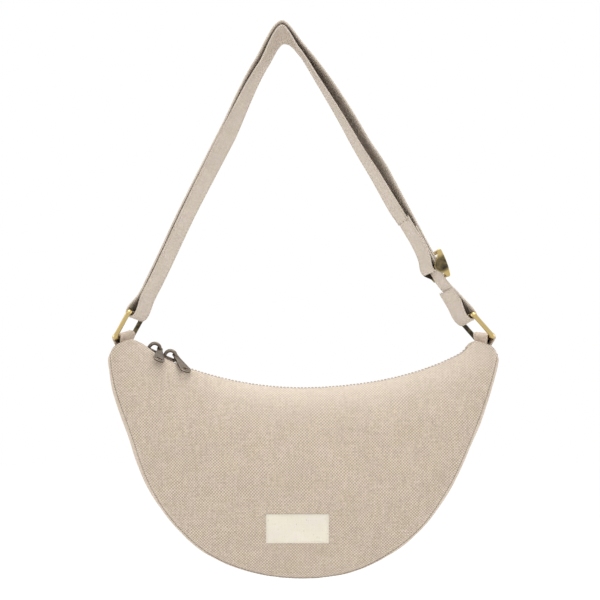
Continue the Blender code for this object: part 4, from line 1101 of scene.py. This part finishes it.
def makeStrapEnd():
    # the sewn-back end: down beside the outer layer, round the middle bar and up again
    down, out, _, inward = slideAxes()
    place, thick = onSlide(strap["adjusterPlace"]), strap["thick"]
    first = place - out * (thick + gap)
    second = first - out * (thick + gap)
    a = np.linspace(0, math.pi, 13)[:, None]
    radius = adjuster["middleRadius"] + gap + thick / 2
    wrap = place - out * adjuster["barDepth"] + (out * np.cos(a) + down * np.sin(a)) * radius
    meet = down * adjuster["length"] / 2
    knots = np.vstack([first - down * strap["endFold"], first - meet, wrap, second - meet,
                       second - down * strap["endReach"]])
    path = evenly(smoothCurve(knots, 14)[0], 110)
    shares, tilts = np.array(strap["endTilts"]).T
    tilt = np.interp(np.linspace(0, 1, len(path)), shares, np.radians(tilts))[:, None]
    widths = backWay * np.cos(tilt) + inward * np.sin(tilt)
    points, uv, _ = bandSurface(path, widths, strap["width"], thick)
    bandPiece("strapEnd", points, uv, "strapCanvas", "adjuster", "strap_end")
    bandStitches("strapEndStitches", path, widths, "adjuster")


makeStrap()
makeStrapEnd()
print("strap done")


# The adjuster: two lens-shaped side plates, two round end bars and a thin middle bar

def plateOutline():
    # (height over the band's middle, place up the band): a bowed outer edge, a sagging inner one, two knobs
    face, half, count = strap["thick"] / 2, adjuster["length"] / 2, 12
    high, low = face + adjuster["topHeight"], face + adjuster["lowHeight"]
    radius, middle = adjuster["endRadius"] + adjuster["rim"], (high + low) / 2
    bow = face + adjuster["bow"] - middle - radius
    sag = adjuster["barDepth"] + adjuster["middleRadius"] + adjuster["rim"] + middle - radius
    t = np.linspace(-1, 1, count + 1)[1:-1]
    slant = middle + (high - low) / 2 * t
    turn = np.linspace(0, math.pi, 10)
    topKnob = np.stack([high + radius * np.cos(math.pi - turn), half + radius * np.sin(turn)], 1)
    outer = np.stack([slant + radius + bow * (1 - t**2), half * t], 1)[::-1]
    lowKnob = np.stack([low + radius * np.cos(turn), -half - radius * np.sin(turn)], 1)
    inner = np.stack([slant - radius - sag * (1 - t**2) ** 2, half * t], 1)
    outline = np.vstack([topKnob, outer, lowKnob, inner])
    # the places across from each other on the outline, from its top to its foot
    knob, edge, last = len(turn), len(t), len(outline) - 1
    pairs = [(knob // 2 - 1 - k, knob // 2 + k) for k in range(knob // 2)]
    pairs += [(last - k, knob + k) for k in range(edge)]
    pairs += [(last - edge - k, knob + edge + k) for k in range(knob // 2)]
    return outline, pairs


def roundedSlab(outline, thick, bevel, place, axes, pairs=None):
    # an outline (n, 2) made a slab with rounded edges: rings from one face to the other, shrunk at both faces
    centre = outline.mean(0)
    heading = unit(np.roll(outline, -1, 0) - np.roll(outline, 1, 0))
    inward = np.stack([-heading[:, 1], heading[:, 0]], 1)
    inward = inward * np.sign(np.sum(inward * (centre - outline), 1).mean())
    half = np.array([0.5, 0.5, 0.5 - 0.3 * bevel / thick, 0.5 - bevel / thick])
    levels = np.concatenate([-half, half[::-1]])
    shrink = np.array([1.6, 1.0, 0.3, 0, 0, 0.3, 1.0, 1.6]) * bevel
    flat = outline[None] + inward[None] * shrink[:, None, None]
    points = place + flat[..., :1] * axes[0] + (levels * thick)[:, None, None] * axes[1] + flat[..., 1:] * axes[2]
    faces, last = cappedFaces(len(levels), len(outline)), (len(levels) - 1) * len(outline)
    if pairs is not None:
        # quads across both faces instead of one large face each
        del faces[-2:]
        for (a, b), (c, d) in zip(pairs, pairs[1:]):
            faces += [[b, a, c, d], [last + a, last + b, last + d, last + c]]
    return points.reshape(-1, 3), faces


def rodBetween(start, end, radius, sides=16):
    # a round bar with crowned ends
    way = unit(end - start)
    other = unit(np.cross(way, upWay + 0.3 * rightWay))
    third = np.cross(way, other)
    between = np.linspace(0.1, 0.9, 6)
    base = np.concatenate([np.zeros(3), between, np.ones(3)]) * np.linalg.norm(end - start)
    crown = np.array([1, 0.75, 0]) * 0.35 * radius
    push = np.concatenate([-crown, 0 * between, crown[::-1]])
    size = np.concatenate([[0.35, 0.75, 1], np.ones(6), [1, 0.75, 0.35]]) * radius
    cos, sin = circle(sides)
    rim = other * cos[:, None] + third * sin[:, None]
    points = start + way * (base + push)[:, None, None] + rim[None] * size[:, None, None]
    return points.reshape(-1, 3), cappedFaces(len(base), sides)


def makeAdjuster():
    down, out, across, _ = slideAxes()
    face, half, plate = strap["thick"] / 2, adjuster["length"] / 2, adjuster["plate"]
    centre = onSlide(strap["adjusterPlace"])
    span = strap["width"] + 2 * (adjuster["play"] + plate)
    outline, pairs = plateOutline()
    parts = [roundedSlab(outline, plate, adjuster["bevel"], centre + across * side * (span - plate) / 2,
                         (out, across, -down), pairs) for side in (-1, 1)]
    reach = across * (span / 2 - adjuster["bevel"])
    for place, height, radius in ((-half, face + adjuster["topHeight"], adjuster["endRadius"]),
                                  (half, face + adjuster["lowHeight"], adjuster["endRadius"]),
                                  (0, -adjuster["barDepth"], adjuster["middleRadius"])):
        middle = centre + out * height + down * place
        parts.append(rodBetween(middle - reach, middle + reach, radius))
    piece = metalPiece("adjusterSlide", parts)
    # painted shade: the finish is darkened in the middle of the side plates, partly as patina in the hollow, and
    # left brightest on the knobs
    share = np.abs((placesOf(piece.data) - centre) @ down / half)
    setMask(piece, "wornAndPaintedLight", -1.15 * np.clip(2.5 - 2.9 * share, 0, 1))
    dress(piece, "brass", "adjuster", "adjuster")


makeAdjuster()
print("adjuster done")


# Sliders and pullers

slider = {
    "length": 0.0135, "width": 0.0086, "plate": 0.0011, "bevel": 0.00035, "narrowing": 0.14,
    "bridgeLength": 0.0130, "bridgeHeight": 0.0080, "bridgeBand": 0.0016, "bridgeFoot": 0.0006,
    "wireWidth": 0.0028, "wireHeight": 0.0034, "boss": 0.0016, "bossShares": (0.62, 0.55),
    "flangeRadius": 0.0006, "postRadius": 0.00045,
    "bridgeShares": [(-0.5, 0), (-0.47, 0.45), (-0.36, 0.82), (-0.2, 1), (0.2, 1), (0.36, 0.82), (0.47, 0.45),
                     (0.5, 0)],
    "Left": (-0.1461, 1), "Right": (-0.1306, -1),  # place across from the bag's middle, and the way it faces
}
puller = {
    # the way it hangs, and its share up the bridge's leg
    "Left": ((0.02, -0.92, -0.39), 0.5), "Right": ((0.44, -0.72, -0.54), 0.6),
    "length": 0.0325, "thick": 0.0010, "neck": 0.0060, "foot": 0.0118, "eyeLength": 0.0050, "eyeWidth": 0.0034,
    "eyeRim": 0.0012, "slot": (0.55, 0.30), "bevel": 0.00022, "beadInset": 0.00055, "bead": 0.00042,
    "slotBead": 0.00032, "slotRim": 0.0005,
}


def sliderAxes(place):
    # along the zip and out of the bag, with the place on the plain arc, which the slider runs on
    angle = math.asin(place / bag["zipRadius"])
    return *arcAxes(angle), zipPoint(angle, -topSag(angle))


def squareRound(count, power):
    # a circle swollen towards its square
    return (np.sign(side) * np.abs(side) ** power for side in circle(count))


def bridgePoint(place, shares):
    # places on the bridge's arch, from shares (n, 2) of its length and height
    along, out, at = sliderAxes(place)
    height = slider["bridgeHeight"] + slider["bridgeFoot"] - slider["bridgeBand"] / 2
    x = shares[:, :1] * (slider["bridgeLength"] - slider["bridgeBand"])
    return at + out * (slider["plate"] - slider["bridgeFoot"]) + along * x + out * (shares[:, 1:] * height)


def makeSlider(word, node):
    place, faces = slider[word]
    along, out, at = sliderAxes(place)
    halfL, halfW, plate, boss = slider["length"] / 2, slider["width"] / 2, slider["plate"], slider["boss"]
    # the plate narrows towards its closed end, as a zip's slider does
    x, y = squareRound(36, 0.55)
    outline = np.stack([x * halfL, y * halfW * (1 - slider["narrowing"] * (1 + faces * x) / 2)], 1)
    axes = (along, out, backWay)
    lowPlate = -(gap * 3 + zipper["coil"] + zipper["tape"]) - plate / 2
    parts = [roundedSlab(outline, plate, slider["bevel"], at + out * height, axes)
             for height in (plate / 2, lowPlate)]
    bossPlace = at + out * (plate + boss / 2 - 0.0002)
    parts.append(roundedSlab(outline * slider["bossShares"], boss, 0.0005, bossPlace, axes))
    for side in (-1, 1):
        middle, reach = at + backWay * side * (halfW - 0.0005) - out * 0.0003, along * halfL * 0.8
        parts.append(rodBetween(middle - reach, middle + reach, slider["flangeRadius"], 10))
    parts.append(rodBetween(at + out * (lowPlate + 0.0002), at + out * plate * 0.5, slider["postRadius"], 8))
    # the bridge: a flattened round wire along the arch, smoothed at its own size
    stretch = np.array([slider["bridgeLength"] - slider["bridgeBand"],
                        slider["bridgeHeight"] + slider["bridgeFoot"] - slider["bridgeBand"] / 2])
    arch = np.array(slider["bridgeShares"]) * stretch
    arch = smoothCurve(np.stack([arch[:, 0], np.zeros(8), arch[:, 1]], 1), 6)[0][:, ::2]
    path = bridgePoint(place, arch / stretch)
    second = np.cross(unit(np.gradient(path, axis=0)), backWay)
    cos, sin = circle(14)
    rim = backWay * (cos[None, :, None] * slider["wireWidth"] / 2)
    rim = rim + second[:, None] * (sin[None, :, None] * slider["wireHeight"] / 2)
    parts.append(((path[:, None] + rim).reshape(-1, 3), cappedFaces(len(path), 14)))
    piece = metalPiece(f"slider{word}", parts)
    # rubbed along the bridge's top
    high = (placesOf(piece.data) - at) @ out
    setMask(piece, "wornAndPaintedLight", np.where(high > slider["bridgeHeight"] * 0.8, -0.05, -0.28))
    dress(piece, "gunmetal", node, node)


def makeStop(name, node, side):
    # a clip pinched round both rows of the coil at its end
    angle = side * (zipReach - zipper["stop"] / 2 / bag["zipRadius"])
    along, out = arcAxes(angle)
    x, y = squareRound(28, 0.5)
    pinch = 1 - 0.14 * circle(28)[0] ** 2
    outline = np.stack([x * (zipper["stop"] / 2 - 0.0002), y * (zipper["coilHalf"] + 0.0003) * pinch], 1)
    at = zipPoint(angle, gap + zipper["coil"] / 2)
    slab = roundedSlab(outline, zipper["coil"] + 0.0008, 0.0004, at, (along, out, backWay))
    dress(metalPiece(name, [slab]), "gunmetal", "bag", node)


def pullerOutline(inset=0.0):
    # tapered, round at the foot; inset draws it smaller all round
    top = puller["eyeLength"] / 2 + puller["eyeRim"]
    neck, foot = puller["neck"] / 2 - inset, puller["foot"] / 2 - inset
    turn, tip = np.linspace(math.pi, 0, 17), np.linspace(math.pi, math.tau, 9)
    footArc = np.stack([foot * np.cos(turn), puller["length"] - top - inset - foot + foot * np.sin(turn)], 1)
    head = np.stack([-neck * np.cos(tip), inset - top + neck * 0.8 * (1 + np.sin(tip))], 1)
    return np.vstack([footArc, [[neck, top]], head, [[-neck, top]]])


def flatWithHoles(outline, holes, thick, bevel):
    # a flat outline with holes, given its thickness and rounded edges by a curve's own bevel
    curve = bpy.data.curves.new("flat", "CURVE")
    curve.dimensions, curve.fill_mode = "2D", "BOTH"
    curve.extrude, curve.offset = thick / 2 - bevel, -bevel
    curve.bevel_depth, curve.bevel_resolution = bevel, 2
    for points in (outline, *holes):
        spline = curve.splines.new("POLY")
        spline.points.add(len(points) - 1)
        flat = np.column_stack([points, np.zeros(len(points)), np.ones(len(points))])
        spline.points.foreach_set("co", flat.ravel())
        spline.use_cyclic_u = True
    shape = linked(bpy.data.objects.new("flat", curve))
    bpy.context.view_layer.update()
    mesh = bpy.data.meshes.new_from_object(shape.evaluated_get(bpy.context.evaluated_depsgraph_get()))
    made = placesOf(mesh), [list(face.vertices) for face in mesh.polygons]
    bpy.data.objects.remove(shape, do_unlink=True)
    bpy.data.curves.remove(curve)
    bpy.data.meshes.remove(mesh)
    return made


def ellipse(wide, high, middle):
    cos, sin = circle(18)
    return np.stack([wide * cos, middle + high * sin], 1)


def rimTube(line, radius, lift):
    # a thin raised bead round a closed line in the plate's plane
    heading = unit(np.roll(line, -1, 0) - np.roll(line, 1, 0))
    side = np.stack([-heading[:, 1], heading[:, 0]], 1)
    cos, sin = circle(8)
    xy = line[:, None] + side[:, None] * (cos * radius)[None, :, None]
    z = np.repeat((lift + sin * radius * 0.8)[None], len(line), 0)[..., None]
    return np.concatenate([xy, z], -1).reshape(-1, 3), gridFaces(len(line), 8, True, True).tolist()


def makePuller(word, node):
    foot, thick = puller["foot"] / 2, puller["thick"]
    middle = puller["length"] - (puller["eyeLength"] / 2 + puller["eyeRim"]) - foot
    wide, high = (foot * share for share in puller["slot"])
    holes = [ellipse(puller["eyeWidth"] / 2, puller["eyeLength"] / 2, 0), ellipse(wide, high, middle)]
    parts = [flatWithHoles(pullerOutline(), holes, thick, puller["bevel"])]
    slotRim = ellipse(wide + puller["slotRim"], high + puller["slotRim"], middle)
    for lift in (-thick / 2, thick / 2):
        parts.append(rimTube(pullerOutline(puller["beadInset"]), puller["bead"], lift))
        parts.append(rimTube(slotRim, puller["slotBead"], lift))
    points, faces = joined(parts)
    # hung from the bridge's slanting shoulder
    way, leg = puller[word]
    way, place = unit(np.array(way)), slider[word][0]
    heel, shoulder = np.array(slider["bridgeShares"][-2]), np.array(slider["bridgeShares"][-3])
    hung = bridgePoint(place, (heel + (shoulder - heel) * leg)[None])[0]
    along = sliderAxes(place)[0]
    across = unit(along - way * (along @ way))
    normal = np.cross(across, way)
    piece = metalPiece(f"puller{word}", [(hung + points @ np.stack([across, way, normal]), faces)])
    # painted highlights on the raised rims, painted shade on the edges and in the hollows
    level = np.abs((placesOf(piece.data) - hung) @ normal) / thick
    setMask(piece, "wornAndPaintedLight", np.where(level > 0.53, 0.42, np.where(level < 0.42, -0.42, 0.02)))
    dress(piece, "gunmetal", node, node)


for word, node, _ in leftRight:
    makeSlider(word, f"slider_{node}")
for word, node, _ in leftRight:
    makePuller(word, f"puller_{node}")
for word, node, side in leftRight:
    makeStop(f"zipStop{word}", f"zip_stop_{node}", side)
print("sliders and pullers done")


# The label: a woven patch laid on the front panel, its edges folded under and sewn all round, left bare

label = {
    "width": 0.0605, "height": 0.0282, "thick": 0.0006, "shift": -0.0054, "drop": 0.4774,
    "lean": math.radians(-0.1), "grid": (60, 30), "stitchInset": 0.0020, "lift": 0.0006,
}


def onPanel(x, z):
    # places (n, 3) on the front panel and its normals, from places in the label's plane, by a ray straight back
    tree = BVHTree.FromObject(bpy.data.objects["frontPanel"], bpy.context.evaluated_depsgraph_get())
    cos, sin = math.cos(label["lean"]), math.sin(label["lean"])
    px, pz = bag["middle"] + label["shift"] + x * cos + z * sin, -label["drop"] - x * sin + z * cos
    hits = [tree.ray_cast(Vector((a, -0.2, c)), Vector((0, 1, 0)))[:2] for a, c in zip(px, pz)]
    depth, normals = np.array([hit.y for hit, _ in hits]), np.array([normal for _, normal in hits])
    return np.stack([px, depth, pz], -1), normals


def makeLabel():
    columns, rows = label["grid"]
    x, z = np.meshgrid(np.linspace(-0.5, 0.5, columns + 1) * label["width"],
                       np.linspace(0.5, -0.5, rows + 1) * label["height"])
    x, z = x.ravel(), z.ravel()
    places, _ = onPanel(x, z)
    edge = np.minimum(label["width"] / 2 - np.abs(x), label["height"] / 2 - np.abs(z))
    # thicker along the folded edges, with a dip at the stitches, and a soft fall at the very edge
    lift = label["lift"] + 0.00022 * bell(edge, 0.0009, 0.0010) - 0.00016 * bell(edge, 0.0006, 0.0022)
    lift = lift - 0.0004 * near(edge, 0.0007) ** 2
    places[:, 1] -= lift + 0.00015 * (1 + ripple(places[:, 0] + places[:, 2], 0.03, 1.0))
    # painted shadow along the folded edges, most along the top
    crease = bell(edge, 0.0008) * np.where(z > label["height"] / 2 - 0.0012, 0.55, 0.22)
    clothPiece("labelPatch", "label", places.reshape(rows + 1, columns + 1, 3), np.stack([x, z], -1),
               label["thick"], "labelCloth", True, crease=crease)
    # the sewn line inside the edge
    halfX, halfZ = label["width"] / 2 - label["stitchInset"], label["height"] / 2 - label["stitchInset"]
    corners = np.array([(-halfX, halfZ), (halfX, halfZ), (halfX, -halfZ), (-halfX, -halfZ), (-halfX, halfZ)])
    steps = np.linspace(0, 1, 60, endpoint=False)[:, None]
    line = np.vstack([a + (b - a) * steps for a, b in zip(corners, corners[1:])])
    flat, normals = onPanel(*line.T)
    flat[:, 1] -= label["lift"] + 0.00006
    stitchRow("labelStitches", *pacedAlong(flat, 0.0027, normals), 0.0020, 0.00022, "labelThread", "bag")


makeLabel()
print("label done")
